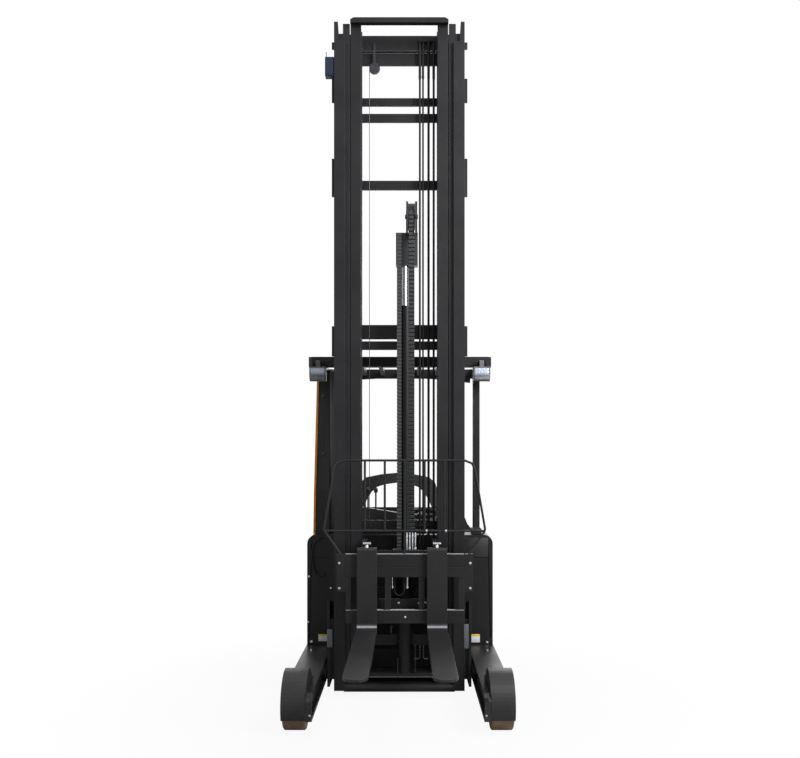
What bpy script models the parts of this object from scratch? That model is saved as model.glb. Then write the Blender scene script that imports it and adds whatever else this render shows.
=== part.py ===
"""Reach truck with a three-stage mast, modelled in metres with +Z up.

The forks point along -Y and +X is the truck's entry side. The origin is on the floor,
under the middle of the whole machine. The mast is drawn back and the forks are raised
a little way, with no load on them.
"""

import math

import bmesh
import bpy
from mathutils import Matrix, Vector

for old in list(bpy.data.objects):
    bpy.data.objects.remove(old, do_unlink=True)

# Clearances
TOUCH = 0.0003          # pieces that rest on each other
RUN = 0.0005            # pins, rods and bearing rollers in their seats
CLEAR = 0.005           # pieces that move past each other

# Forks
FORK_TIP_Y = -1.3305
FORK_LENGTH = 1.150
FORK_THICK = 0.040
FORK_WIDTH = 0.120
FORK_BLADE_TOP_Z = 0.495
FORK_TIP_THICK = 0.012
FORK_TAPER = 0.480
FORK_HOOK_RISE = 0.040

# Load legs
LEG_OUTER_X = 0.635
LEG_INNER_X = 0.466
LEG_BOTTOM_Z = 0.092
LEG_TOP_Z = 0.237
LEG_FLANGE = 0.020
LEG_CHANNEL_DEEP = 0.023
LEG_WEB = 0.0145
LEG_NOSE_Y = -0.6895
LEG_REAR_Y = 0.800
LEG_NOSE_CUT = 0.045
LEG_CAP = 0.010

# Load wheels and their covers
LOAD_AXLE_Y = -0.5195
LOAD_WHEEL_R = 0.160
LOAD_WHEEL_W = 0.120
LOAD_WHEEL_EDGE = 0.006
LOAD_WHEEL_SIDE_GAP = 0.008
LOAD_PIN_R = 0.022
FENDER_R = 0.175
FENDER_SHEET = 0.008
FENDER_FRONT_Z = 0.095
FENDER_LIP = 0.003
FENDER_CHEEK = 0.005

# Drive end
WHEELBASE = 1.5695
DRIVE_X = -0.165
DRIVE_WHEEL_R = 0.180
DRIVE_WHEEL_W = 0.140
DRIVE_PIN_R = 0.030
REAR_Y = 1.3305
CHASSIS_SHEET = 0.018
CHASSIS_TOP_Z = 0.430

# Body
BODY_FRONT_Y = 0.4825
BODY_HALF = 0.633
BODY_TOP_Z = 0.985
BODY_SHEET = 0.012
BODY_SHOULDER = 0.060
SKIRT_THICK = 0.018
CHASSIS_HALF = BODY_HALF - SKIRT_THICK
BATTERY_LONG = 0.290
BATTERY_SIDE_GAP = 0.061
BATTERY_HIGH = 0.620
COVER_REAR_Y = 0.815
HOOD_DEEP = 0.0655
HOOD_FRONT_Y = REAR_Y - HOOD_DEEP
HOOD_TOP_Z = 1.124
HOOD_SHOULDER_Z = 0.945

# Cab
ROOF_FRONT_Y = 0.440
ROOF_REAR_Y = 1.325
ROOF_HALF = 0.620
ROOF_TOP_Z = 2.195
ROOF_BEAM_HIGH = 0.067
ROOF_BEAM_WIDE = 0.070
ROOF_BAR_HIGH = 0.040
ROOF_BAR_WIDE = 0.028
ROOF_BARS = 7

# Mast rails, given as the +X rail
MAST_FRONT_Y = 0.0235
MAST_FOOT_Z = 0.053
OUTER_TOP_Z = 4.242
OUTER_IN_X = 0.340
OUTER_OUT_X = 0.409
OUTER_DEEP = 0.190
OUTER_FLANGE = 0.017
OUTER_WEB = 0.016
OUTER_NOTCH_Z = 4.120
OUTER_NOTCH_X = 0.377
MIDDLE_IN_X = 0.312
MIDDLE_FLANGE = 0.015
MIDDLE_WEB = 0.016
MIDDLE_FOOT_Z = 0.120
MIDDLE_TOP_Z = 4.240
MIDDLE_NOTCH_X = 0.355
MIDDLE_NOTCH_Z = 4.178
INNER_IN_X = 0.240
INNER_FLANGE = 0.015
INNER_WEB = 0.012
INNER_FOOT_Z = 0.130
INNER_TOP_Z = 4.254
INNER_BAR_TOP_Z = 4.262
INNER_BAR_HIGH = 0.032
TIE_THICK = 0.016

# Reach carriage
REACH_PLATE_OUT_X = 0.452
REACH_PLATE = 0.016
REACH_ROLLER_R = 0.050
REACH_STROKE = 0.600

# Lift cylinders
LIFT_ROD_X = 0.356
LIFT_ROD_Y = 0.290
LIFT_ROD_R = 0.0225
LIFT_BARREL_R = 0.0375
LIFT_BARREL_TOP_Z = 3.950
LIFT_ROD_FOOT_Z = 0.450

# Free-lift cylinder, its head and chains
FREE_X = 0.0335
FREE_Y = 0.115
FREE_BARREL_R = 0.0475
FREE_BARREL_TOP_Z = 2.475
FREE_ROD_R = 0.0235
FREE_ROD_FOOT_Z = 1.300
HEAD_LOW_Z = 2.730
HEAD_TOP_Z = 2.935
PULLEY_X = 0.076
PULLEY_Z = 3.037
PULLEY_R = 0.075
PULLEY_W = 0.044
PULLEY_Y = 0.083
CHAIN_W = 0.038
CHAIN_THICK = 0.006
CHAIN_PITCH = 0.0254
CHAIN_NOTCH = 0.0022
ENERGY_X = (-0.0155, 0.0135)
ENERGY_DEEP = 0.042
ENERGY_PITCH = 0.0225
ENERGY_NOTCH = 0.0045

# Carriage
CARRIAGE_PLATE_OUT_X = 0.234
CARRIAGE_PLATE = 0.028
TILT_PIVOT_Z = 0.900
SHIFT_OFFSET = 0.034
BAR_FACE_Y = -0.1402
BAR_THICK = 0.035
BAR_HALF = 0.359
UPPER_BAR_Z = (0.790, 0.930)
LOWER_BAR_Z = (0.510, 0.590)


# Colours are written as eight-bit values and turned to linear light
def linear(code):
    values = []
    for at in (0, 2, 4):
        level = int(code[at:at + 2], 16) / 255.0
        if level <= 0.04045:
            values.append(level / 12.92)
        else:
            values.append(((level + 0.055) / 1.055) ** 2.4)
    return (values[0], values[1], values[2], 1.0)


# Columns: name, colour, roughness, metallic
PAINTS = (
    ("black_coat", "2B2C2E", 0.55, 0.0),
    ("dark_coat", "3A3B3D", 0.50, 0.0),
    ("grey_panel", "55575A", 0.45, 0.0),
    ("orange_coat", "D2601E", 0.40, 0.0),
    ("tyre_brown", "8A4A28", 0.60, 0.0),
    ("chrome", "C9CCD0", 0.15, 1.0),
    ("steel", "7A7C80", 0.40, 1.0),
    ("black_plastic", "1D1E20", 0.60, 0.0),
    ("seat_cover", "242528", 0.70, 0.0),
    ("rubber_black", "19191B", 0.80, 0.0),
    ("fork_steel", "2E2F31", 0.50, 0.3),
)


def make_paints():
    made = {}
    for name, code, rough, metal in PAINTS:
        paint = bpy.data.materials.new(name)
        paint.use_nodes = True
        shader = paint.node_tree.nodes["Principled BSDF"]
        shader.inputs["Base Color"].default_value = linear(code)
        shader.inputs["Roughness"].default_value = rough
        shader.inputs["Metallic"].default_value = metal
        paint.diffuse_color = linear(code)
        made[name] = paint
    return made


PAINT = make_paints()


# Building blocks, each returning a closed bmesh in world coordinates
def prism(points, axis, low, high):
    """Extrudes a flat outline along an axis: (y, z) along X, (x, z) along Y, (x, y) along Z."""
    shape = bmesh.new()
    corners = []
    for first, second in points:
        if axis == "X":
            place = (low, first, second)
        elif axis == "Y":
            place = (first, low, second)
        else:
            place = (first, second, low)
        corners.append(shape.verts.new(place))
    face = shape.faces.new(corners)
    step = {"X": (high - low, 0, 0), "Y": (0, high - low, 0), "Z": (0, 0, high - low)}[axis]
    grown = bmesh.ops.extrude_face_region(shape, geom=[face])
    moved = [item for item in grown["geom"] if isinstance(item, bmesh.types.BMVert)]
    bmesh.ops.translate(shape, verts=moved, vec=step)
    bmesh.ops.recalc_face_normals(shape, faces=shape.faces)
    return shape


def box(x, y, z):
    """A block given by its low and high value on each axis."""
    outline = ((x[0], y[0]), (x[1], y[0]), (x[1], y[1]), (x[0], y[1]))
    return prism(outline, "Z", z[0], z[1])


def disc_outline(centre, radius, count, start=0.0):
    points = []
    for index in range(count):
        angle = start + 2 * math.pi * index / count
        points.append((centre[0] + radius * math.cos(angle), centre[1] + radius * math.sin(angle)))
    return points


def rod(axis, centre, radius, low, high, count=24):
    """A round bar along an axis, with its centre given in the other two coordinates."""
    return prism(disc_outline(centre, radius, count), axis, low, high)


def arc_points(centre, radius, start, end, count):
    """Points on an arc, with the angles in degrees."""
    points = []
    for index in range(count + 1):
        angle = math.radians(start + (end - start) * index / count)
        points.append((centre[0] + radius * math.cos(angle), centre[1] + radius * math.sin(angle)))
    return points


def turned(profile, axis, centre, count=32):
    """Spins a closed (radius, along) outline about an axis through a point."""
    shape = bmesh.new()
    rings = []
    for index in range(count):
        angle = 2 * math.pi * index / count
        ring = []
        for radius, along in profile:
            across = radius * math.cos(angle)
            up = radius * math.sin(angle)
            if axis == "X":
                place = (centre[0] + along, centre[1] + across, centre[2] + up)
            elif axis == "Y":
                place = (centre[0] + across, centre[1] + along, centre[2] + up)
            else:
                place = (centre[0] + across, centre[1] + up, centre[2] + along)
            ring.append(shape.verts.new(place))
        rings.append(ring)
    size = len(profile)
    for index in range(count):
        here = rings[index]
        there = rings[(index + 1) % count]
        for step in range(size):
            after = (step + 1) % size
            shape.faces.new((here[step], here[after], there[after], there[step]))
    bmesh.ops.recalc_face_normals(shape, faces=shape.faces)
    return shape


def spindle(profile, centre, count=12):
    """A solid upright turned bar, from its (radius, height) steps, bottom to top."""
    shape = bmesh.new()
    rings = []
    for radius, height in profile:
        rings.append([shape.verts.new((x, y, height)) for x, y in disc_outline(centre, radius, count)])
    for here, there in zip(rings[:-1], rings[1:]):
        for step in range(count):
            after = (step + 1) % count
            shape.faces.new((here[step], here[after], there[after], there[step]))
    shape.faces.new(list(reversed(rings[0])))
    shape.faces.new(rings[-1])
    bmesh.ops.recalc_face_normals(shape, faces=shape.faces)
    return shape


def tube(points, radius, count=10):
    """A round bar that follows a path, mitred at its corners."""
    shape = bmesh.new()
    path = [Vector(point) for point in points]
    side = None
    rings = []
    for index, place in enumerate(path):
        if index == 0:
            ahead = (path[1] - path[0]).normalized()
            stretch = 1.0
            bend = ahead
        elif index == len(path) - 1:
            ahead = (path[-1] - path[-2]).normalized()
            stretch = 1.0
            bend = ahead
        else:
            before = (place - path[index - 1]).normalized()
            after = (path[index + 1] - place).normalized()
            ahead = (before + after).normalized()
            stretch = 1.0 / max(0.5, ahead.dot(before))
            bend = (after - before)
            bend = bend.normalized() if bend.length > 1e-6 else ahead
        if side is None:
            guide = Vector((0, 0, 1)) if abs(ahead.z) < 0.9 else Vector((0, 1, 0))
            side = ahead.cross(guide).normalized()
        side = (side - ahead * side.dot(ahead)).normalized()
        other = ahead.cross(side).normalized()
        ring = []
        for step in range(count):
            angle = 2 * math.pi * step / count
            offset = side * math.cos(angle) * radius + other * math.sin(angle) * radius
            if stretch > 1.0:
                offset = offset + bend * offset.dot(bend) * (stretch - 1.0)
            ring.append(shape.verts.new(place + offset))
        rings.append(ring)
    for here, there in zip(rings[:-1], rings[1:]):
        for step in range(count):
            after = (step + 1) % count
            shape.faces.new((here[step], here[after], there[after], there[step]))
    shape.faces.new(list(reversed(rings[0])))
    shape.faces.new(rings[-1])
    bmesh.ops.recalc_face_normals(shape, faces=shape.faces)
    return shape


def mirrored(shape):
    """The same form on the other side of the truck."""
    copy = shape.copy()
    bmesh.ops.scale(copy, vec=(-1, 1, 1), verts=copy.verts)
    bmesh.ops.reverse_faces(copy, faces=copy.faces)
    return copy


def both(shape):
    return [shape, mirrored(shape)]


def turned_about(shape, centre, degrees, axis):
    turn = Matrix.Rotation(math.radians(degrees), 3, axis)
    bmesh.ops.rotate(shape, verts=shape.verts, cent=centre, matrix=turn)
    return shape


# Bodies: each has an empty on its joint's axis, and its pieces are parented to that
BODY = {}


def add_body(name, pivot, carrier=None):
    empty = bpy.data.objects.new("axis_" + name, None)
    empty.empty_display_size = 0.1
    bpy.context.scene.collection.objects.link(empty)
    place = Vector(pivot)
    if carrier is None:
        empty.location = place
    else:
        empty.parent = BODY[carrier][0]
        empty.location = place - BODY[carrier][1]
    BODY[name] = (empty, place)


def as_object(shape, name):
    mesh = bpy.data.meshes.new(name)
    shape.to_mesh(mesh)
    shape.free()
    made = bpy.data.objects.new(name, mesh)
    bpy.context.scene.collection.objects.link(made)
    return made


def combine(shapes, cuts=()):
    """Unions a list of closed shapes, cuts others away and returns one mesh."""
    base = as_object(shapes[0], "blank")
    helpers = []
    for operation, group in (("UNION", shapes[1:]), ("DIFFERENCE", cuts)):
        for shape in group:
            helper = as_object(shape, "helper")
            helper.hide_render = True
            helper.display_type = "WIRE"
            helpers.append(helper)
            change = base.modifiers.new(operation.lower(), "BOOLEAN")
            change.operation = operation
            change.object = helper
    bpy.context.view_layer.update()
    ready = base.evaluated_get(bpy.context.evaluated_depsgraph_get())
    result = bpy.data.meshes.new_from_object(ready)
    for item in helpers + [base]:
        bpy.data.objects.remove(item, do_unlink=True)
    return result


def carved(shape, cuts):
    """A shape with others cut away from it, ready to be joined to more."""
    mesh = combine([shape], cuts)
    result = bmesh.new()
    result.from_mesh(mesh)
    bpy.data.meshes.remove(mesh)
    return result


def piece(name, paint, body, shapes, cuts=(), bevel=0.0, segments=1, angle=35.0):
    """Makes one sub-part of a body from closed shapes and cutters in world coordinates."""
    mesh = combine(list(shapes), list(cuts))
    mesh.name = name
    shape = bmesh.new()
    shape.from_mesh(mesh)
    bmesh.ops.remove_doubles(shape, verts=shape.verts, dist=0.00002)
    bmesh.ops.dissolve_limit(
        shape, angle_limit=math.radians(0.2), verts=shape.verts, edges=shape.edges)
    empty, place = BODY[body]
    bmesh.ops.translate(shape, verts=shape.verts, vec=-place)
    shape.to_mesh(mesh)
    shape.free()
    mesh.materials.clear()
    mesh.materials.append(PAINT[paint])
    mesh.shade_smooth()
    mesh.set_sharp_from_angle(angle=math.radians(angle))
    made = bpy.data.objects.new(name, mesh)
    bpy.context.scene.collection.objects.link(made)
    made.parent = empty
    if bevel > 0.0:
        edge = made.modifiers.new("edges", "BEVEL")
        edge.width = bevel
        edge.segments = segments
        edge.limit_method = "ANGLE"
        edge.angle_limit = math.radians(40.0)
        edge.harden_normals = False
    return made


# Places that follow from the sizes above
GROOVE_X = LEG_INNER_X + LEG_CHANNEL_DEEP
WEB_X = GROOVE_X + LEG_WEB
WELL_REAR_Y = LOAD_AXLE_Y + FENDER_R + TOUCH
LOAD_IN_X = WEB_X + LOAD_WHEEL_SIDE_GAP
LOAD_OUT_X = LOAD_IN_X + LOAD_WHEEL_W
LOAD_MID_X = (LOAD_IN_X + LOAD_OUT_X) / 2
DRIVE_Y = LOAD_AXLE_Y + WHEELBASE
SEAT_LEG_Z = LEG_TOP_Z + TOUCH
TRAY_TOP_Z = SEAT_LEG_Z + CHASSIS_SHEET
TUB_FRONT_Y = LEG_REAR_Y + TOUCH
SHANK_FRONT_Y = FORK_TIP_Y + FORK_LENGTH
SHANK_BACK_Y = SHANK_FRONT_Y + FORK_THICK
ROLLER_Z = LEG_BOTTOM_Z + LEG_FLANGE + TOUCH + REACH_ROLLER_R
TILT_PIVOT_Y = -0.058

add_body("chassis", (0, 0, 0))
add_body("load_wheel_left", (LOAD_MID_X, LOAD_AXLE_Y, LOAD_WHEEL_R), "chassis")
add_body("load_wheel_right", (-LOAD_MID_X, LOAD_AXLE_Y, LOAD_WHEEL_R), "chassis")
add_body("steering", (DRIVE_X, DRIVE_Y, DRIVE_WHEEL_R), "chassis")
add_body("drive_wheel", (DRIVE_X, DRIVE_Y, DRIVE_WHEEL_R), "steering")
add_body("mast_base", (0, MAST_FRONT_Y, ROLLER_Z), "chassis")
add_body("mast_middle", (0, MAST_FRONT_Y, MIDDLE_FOOT_Z), "mast_base")
add_body("mast_inner", (0, MAST_FRONT_Y, INNER_FOOT_Z), "mast_middle")
add_body("free_lift_head", (FREE_X, FREE_Y, FREE_ROD_FOOT_Z), "mast_inner")
add_body("lift_carriage", (0, 0, TILT_PIVOT_Z), "mast_inner")
add_body("tilt_frame", (0, TILT_PIVOT_Y, TILT_PIVOT_Z), "lift_carriage")
add_body("fork_carriage", (SHIFT_OFFSET, BAR_FACE_Y, UPPER_BAR_Z[0]), "tilt_frame")


# Load legs: channel beams that carry the reach rollers, with a stub axle at the front
def leg_shapes():
    low = LEG_BOTTOM_Z
    top = LEG_TOP_Z
    profile = (
        (LEG_OUTER_X, low), (LEG_OUTER_X, top), (LEG_INNER_X, top),
        (LEG_INNER_X, top - LEG_FLANGE), (GROOVE_X, top - LEG_FLANGE),
        (GROOVE_X, low + LEG_FLANGE), (LEG_INNER_X, low + LEG_FLANGE), (LEG_INNER_X, low),
    )
    beam = prism(profile, "Y", LEG_NOSE_Y, LEG_REAR_Y)
    stub = rod("X", (LOAD_AXLE_Y, LOAD_WHEEL_R), LOAD_PIN_R, WEB_X - 0.006, LOAD_OUT_X - 0.010)
    head = rod("X", (LOAD_AXLE_Y, LOAD_WHEEL_R), 0.036, LOAD_OUT_X - 0.016, LOAD_OUT_X - 0.006)
    boss = rod("X", (LOAD_AXLE_Y, LOAD_WHEEL_R), 0.040, WEB_X - 0.004, LOAD_IN_X - 0.002)
    well = box((WEB_X, LEG_OUTER_X + 0.05), (LEG_NOSE_Y - 0.05, WELL_REAR_Y), (low - 0.05, top + 0.05))
    nose = prism(
        ((LEG_NOSE_Y - 0.01, top + 0.01), (LEG_NOSE_Y - 0.01, top - LEG_NOSE_CUT),
         (LEG_NOSE_Y + LEG_NOSE_CUT, top + 0.01)), "X", LEG_INNER_X - 0.01, WEB_X + 0.02)
    cap = box((LEG_INNER_X + 0.001, GROOVE_X + 0.004), (LEG_NOSE_Y + 0.001, LEG_NOSE_Y + LEG_CAP),
              (low + 0.010, top - LEG_NOSE_CUT + 0.004))
    return [carved(beam, [well, nose]), stub, boss, head, cap]


def make_leg(name, flip):
    parts = leg_shapes()
    if flip:
        parts = [mirrored(item) for item in parts]
    piece(name, "black_coat", "chassis", parts)


make_leg("leg_left", False)
make_leg("leg_right", True)


# Covers over the load wheels: an arched shell with a lip that rests on the leg
def fender_shapes():
    centre = (LOAD_AXLE_Y, LOAD_WHEEL_R)
    inner_r = FENDER_R - FENDER_SHEET
    drop = math.degrees(math.asin((LOAD_WHEEL_R - FENDER_FRONT_Z) / FENDER_R))
    outline = arc_points(centre, FENDER_R, 0, 180 + drop, 28)
    outline += arc_points(centre, inner_r, 180 + drop, 0, 28)
    low_x = WEB_X - FENDER_LIP
    shell = prism(outline, "X", low_x, LEG_OUTER_X - RUN)
    under = box((low_x - 0.01, WEB_X + TOUCH), (LOAD_AXLE_Y - 0.3, LOAD_AXLE_Y + 0.3), (0.0, SEAT_LEG_Z))
    cheek_r = FENDER_R - FENDER_SHEET / 2
    low = math.degrees(math.asin((SEAT_LEG_Z - LOAD_WHEEL_R) / cheek_r))
    cheek = prism(arc_points(centre, cheek_r, low, 180 - low, 18), "X", low_x, low_x + FENDER_CHEEK)
    tab = box((low_x, LEG_OUTER_X - 0.015), (WELL_REAR_Y - 0.025, WELL_REAR_Y + 0.045),
              (SEAT_LEG_Z, SEAT_LEG_Z + FENDER_SHEET))
    return [shell, cheek, tab], under


for name, flip in (("fender_left", False), ("fender_right", True)):
    shells, under = fender_shapes()
    if flip:
        shells = [mirrored(item) for item in shells]
        under = mirrored(under)
    piece(name, "black_coat", "chassis", shells, [under])


# Load wheels: a wide soft tread on a steel hub, with a recess for the pin's head
def load_wheel(name, body, side):
    half = LOAD_WHEEL_W / 2
    edge = LOAD_WHEEL_EDGE
    bore = LOAD_PIN_R + RUN
    face = half - 0.0175
    profile = (
        (bore, -half + 0.004), (0.060, -half + 0.004), (0.070, -half), (LOAD_WHEEL_R - edge, -half),
        (LOAD_WHEEL_R, -half + edge), (LOAD_WHEEL_R, half - edge), (LOAD_WHEEL_R - edge, half),
        (0.070, half), (0.062, face), (bore, face),
    )
    profile = [(radius, along * side) for radius, along in profile]
    wheel = turned(profile, "X", (side * LOAD_MID_X, LOAD_AXLE_Y, LOAD_WHEEL_R), 32)
    piece(name, "tyre_brown", body, [wheel])


load_wheel("load_wheel_left", "load_wheel_left", 1)
load_wheel("load_wheel_right", "load_wheel_right", -1)


# Reach cylinder: the barrel lies on the chassis and its rod pushes the mast forward
REACH_X = 0.200
REACH_Z = 0.165
REACH_BARREL_R = 0.034
REACH_ROD_R = 0.018
REACH_BARREL_FRONT_Y = 0.500
REACH_BARREL_LONG = 0.710
REACH_BEAM_REAR_Y = 0.440
REACH_ROD_OVERLAP = 0.050

barrel = rod("Y", (REACH_X, REACH_Z), REACH_BARREL_R, REACH_BARREL_FRONT_Y,
             REACH_BARREL_FRONT_Y + REACH_BARREL_LONG)
bore = rod("Y", (REACH_X, REACH_Z), REACH_ROD_R + RUN, REACH_BARREL_FRONT_Y - 0.02,
           REACH_BARREL_FRONT_Y + REACH_BARREL_LONG - 0.02)
piece("reach_barrel", "black_coat", "chassis", [barrel], [bore])

# Rear chassis: an open tub round the drive wheel, with the battery's tray in front of it
NECK_R = 0.115
TURNTABLE_LIP = 0.020
TUB_LOW_Z = 0.095
TUB_CORNER = 0.090


def tub_outline(inset):
    half = CHASSIS_HALF - inset
    front = TUB_FRONT_Y + inset
    rear = REAR_Y - inset
    cut = TUB_CORNER
    return ((-half, front), (half, front), (half, rear - cut), (half - cut, rear),
            (-half + cut, rear), (-half, rear - cut))


tub = prism(tub_outline(0.0), "Z", TUB_LOW_Z, CHASSIS_TOP_Z)
tub_hollow = prism(tub_outline(CHASSIS_SHEET), "Z", TUB_LOW_Z - 0.02, CHASSIS_TOP_Z - CHASSIS_SHEET)
neck = rod("Z", (DRIVE_X, DRIVE_Y), NECK_R + CLEAR, CHASSIS_TOP_Z - 0.05, CHASSIS_TOP_Z + 0.05, 28)
through = rod("Y", (REACH_X, REACH_Z), REACH_BARREL_R + TOUCH, TUB_FRONT_Y - 0.02,
              TUB_FRONT_Y + CHASSIS_SHEET + 0.02)
tub_shape = carved(tub, [tub_hollow, neck, through])
TRAY_HALF = BODY_HALF - BODY_SHEET - 0.020
tray = box((-TRAY_HALF, TRAY_HALF), (BODY_FRONT_Y + BODY_SHEET + TOUCH, TUB_FRONT_Y + 0.010),
           (SEAT_LEG_Z, TRAY_TOP_Z))
piece("chassis_frame", "black_coat", "chassis", [tub_shape, tray])

battery_front = BODY_FRONT_Y + BODY_SHEET + 0.010
battery_half = BODY_HALF - BODY_SHEET - BATTERY_SIDE_GAP
battery = box((-battery_half, battery_half), (battery_front, battery_front + BATTERY_LONG),
              (TRAY_TOP_Z + TOUCH, TRAY_TOP_Z + TOUCH + BATTERY_HIGH))
piece("battery", "dark_coat", "chassis", [battery])


# Battery cover with rounded shoulders, open below and behind
def shoulder_outline(half, low, top, radius, count=6):
    points = [(half, low)]
    points += arc_points((half - radius, top - radius), radius, 0, 90, count)
    points += arc_points((-half + radius, top - radius), radius, 90, 180, count)
    points.append((-half, low))
    return points


cover = prism(shoulder_outline(BODY_HALF, SEAT_LEG_Z, BODY_TOP_Z, BODY_SHOULDER), "Y",
              BODY_FRONT_Y, COVER_REAR_Y)
cover_hollow = prism(
    shoulder_outline(BODY_HALF - BODY_SHEET, SEAT_LEG_Z - 0.05, BODY_TOP_Z - BODY_SHEET,
                     BODY_SHOULDER - BODY_SHEET), "Y", BODY_FRONT_Y + BODY_SHEET, COVER_REAR_Y + 0.05)
SEAM_WIDE = 0.004
SEAM_DEEP = 0.006
SEAM_Z = 0.827
SEAM_IN_X = 0.196
seam_y = (BODY_FRONT_Y - 0.01, BODY_FRONT_Y + SEAM_DEEP)
seams = []
for side in (1, -1):
    edge_x = side * (BODY_HALF + 0.01)
    inner_x = side * (BODY_HALF - SEAM_IN_X)
    seams.append(box((min(edge_x, inner_x), max(edge_x, inner_x)), seam_y, (SEAM_Z, SEAM_Z + SEAM_WIDE)))
    seams.append(box((inner_x - SEAM_WIDE / 2, inner_x + SEAM_WIDE / 2), seam_y, (SEAM_Z + 0.001, BODY_TOP_Z + 0.01)))
    slot_x = side * (BODY_HALF - 0.040)
    seams.append(prism(((slot_x, BODY_TOP_Z - 0.045), (slot_x + side * 0.010, BODY_TOP_Z - 0.045),
                        (slot_x + side * 0.028, LEG_TOP_Z + 0.040), (slot_x + side * 0.016, LEG_TOP_Z + 0.040)),
                       "Y", seam_y[0], BODY_FRONT_Y + BODY_SHEET - 0.003))
piece("battery_cover", "dark_coat", "chassis", [cover], [cover_hollow] + seams)

# Cab floor, low side panel at the entry, thick side wall behind the seat and rear hood
FLOOR_THICK = 0.025
FLOOR_LOW_Z = CHASSIS_TOP_Z + TOUCH
FLOOR_TOP_Z = FLOOR_LOW_Z + FLOOR_THICK
CAB_FRONT_Y = COVER_REAR_Y + TOUCH
CAB_REAR_Y = HOOD_FRONT_Y - TOUCH
MOTOR_R = 0.090
WALL_THICK = 0.143
WALL_IN_X = BODY_HALF - WALL_THICK
SILL_TOP_Z = 0.520
SKIRT_LOW_Z = 0.110

floor = box((-CHASSIS_HALF, CHASSIS_HALF), (CAB_FRONT_Y, CAB_REAR_Y), (FLOOR_LOW_Z, FLOOR_TOP_Z))
floor_hole = rod("Z", (DRIVE_X, DRIVE_Y), NECK_R + TURNTABLE_LIP + CLEAR,
                 FLOOR_LOW_Z - 0.02, FLOOR_TOP_Z + 0.02, 28)
piece("cab_floor", "black_plastic", "chassis", [floor], [floor_hole])

skirt_in = CHASSIS_HALF + TOUCH
sill = prism(((CAB_FRONT_Y, SKIRT_LOW_Z), (CAB_REAR_Y - 0.04, SKIRT_LOW_Z), (CAB_REAR_Y, SKIRT_LOW_Z + 0.06),
              (CAB_REAR_Y, SILL_TOP_Z), (CAB_FRONT_Y + 0.04, SILL_TOP_Z), (CAB_FRONT_Y, SILL_TOP_Z + 0.12)),
             "X", skirt_in, BODY_HALF)
piece("sill_panel", "dark_coat", "chassis", [sill])

wall_outline = [(-BODY_HALF, SKIRT_LOW_Z), (-skirt_in, SKIRT_LOW_Z), (-skirt_in, FLOOR_TOP_Z + TOUCH),
                (-WALL_IN_X, FLOOR_TOP_Z + TOUCH), (-WALL_IN_X, BODY_TOP_Z)]
wall_outline += arc_points((-BODY_HALF + BODY_SHOULDER, BODY_TOP_Z - BODY_SHOULDER), BODY_SHOULDER, 90, 180, 6)
piece("side_wall", "dark_coat", "chassis", [prism(wall_outline, "Y", CAB_FRONT_Y, CAB_REAR_Y)])

HOOD_CORNER = 0.045
hood_low = FLOOR_LOW_Z
hood_profile = ((HOOD_FRONT_Y, hood_low), (REAR_Y, hood_low), (REAR_Y, HOOD_TOP_Z - HOOD_CORNER),
                (REAR_Y - HOOD_CORNER * 0.3, HOOD_TOP_Z - HOOD_CORNER * 0.3),
                (REAR_Y - HOOD_CORNER, HOOD_TOP_Z), (HOOD_FRONT_Y, HOOD_TOP_Z))
hood = prism(hood_profile, "X", -BODY_HALF, BODY_HALF)
hood_cuts = []
for side in (1, -1):
    x0 = side * (BODY_HALF + 0.01)
    hood_cuts.append(prism(((x0, HOOD_SHOULDER_Z), (x0, HOOD_TOP_Z + 0.01), (side * (BODY_HALF - 0.145), HOOD_TOP_Z + 0.01),
                            (side * (BODY_HALF - 0.140), HOOD_SHOULDER_Z + 0.110),
                            (side * (BODY_HALF - 0.115), HOOD_SHOULDER_Z + 0.050),
                            (side * (BODY_HALF - 0.076), HOOD_SHOULDER_Z)), "Y",
                           HOOD_FRONT_Y - 0.01, REAR_Y + 0.01))
piece("rear_hood", "dark_coat", "chassis", [hood], hood_cuts)

# Seat: pedestal over the drive motor, cushion and back
SEAT_MID_Y = 1.040
SEAT_HALF = 0.205
PEDESTAL_HALF = 0.180
PEDESTAL_SHEET = 0.015
SEAT_REAR_X = -0.485
SEAT_FRONT_X = 0.000
CUSHION_LOW_Z = 0.860
CUSHION_THICK = 0.100
BACK_THICK = 0.095
BACK_TOP_Z = 1.480

pedestal = box((-0.460, -0.015), (SEAT_MID_Y - PEDESTAL_HALF, SEAT_MID_Y + PEDESTAL_HALF),
               (FLOOR_TOP_Z + TOUCH, CUSHION_LOW_Z - TOUCH))
pedestal_in = box((-0.460 + PEDESTAL_SHEET, -0.015 - PEDESTAL_SHEET),
                  (SEAT_MID_Y - PEDESTAL_HALF + PEDESTAL_SHEET, SEAT_MID_Y + PEDESTAL_HALF - PEDESTAL_SHEET),
                  (FLOOR_TOP_Z - 0.02, CUSHION_LOW_Z - PEDESTAL_SHEET))
piece("seat_pedestal", "black_plastic", "chassis", [pedestal], [pedestal_in])

cushion_low = CUSHION_LOW_Z
cushion_top = CUSHION_LOW_Z + CUSHION_THICK
cushion = prism(((SEAT_REAR_X + BACK_THICK + TOUCH, cushion_low), (SEAT_FRONT_X - 0.02, cushion_low),
                 (SEAT_FRONT_X, cushion_low + 0.03), (SEAT_FRONT_X, cushion_top - 0.02),
                 (SEAT_FRONT_X - 0.03, cushion_top),
                 (SEAT_REAR_X + BACK_THICK + TOUCH, cushion_top - 0.015)), "Y",
                SEAT_MID_Y - SEAT_HALF, SEAT_MID_Y + SEAT_HALF)
piece("seat_cushion", "seat_cover", "chassis", [cushion], bevel=0.012, segments=2)

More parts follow.
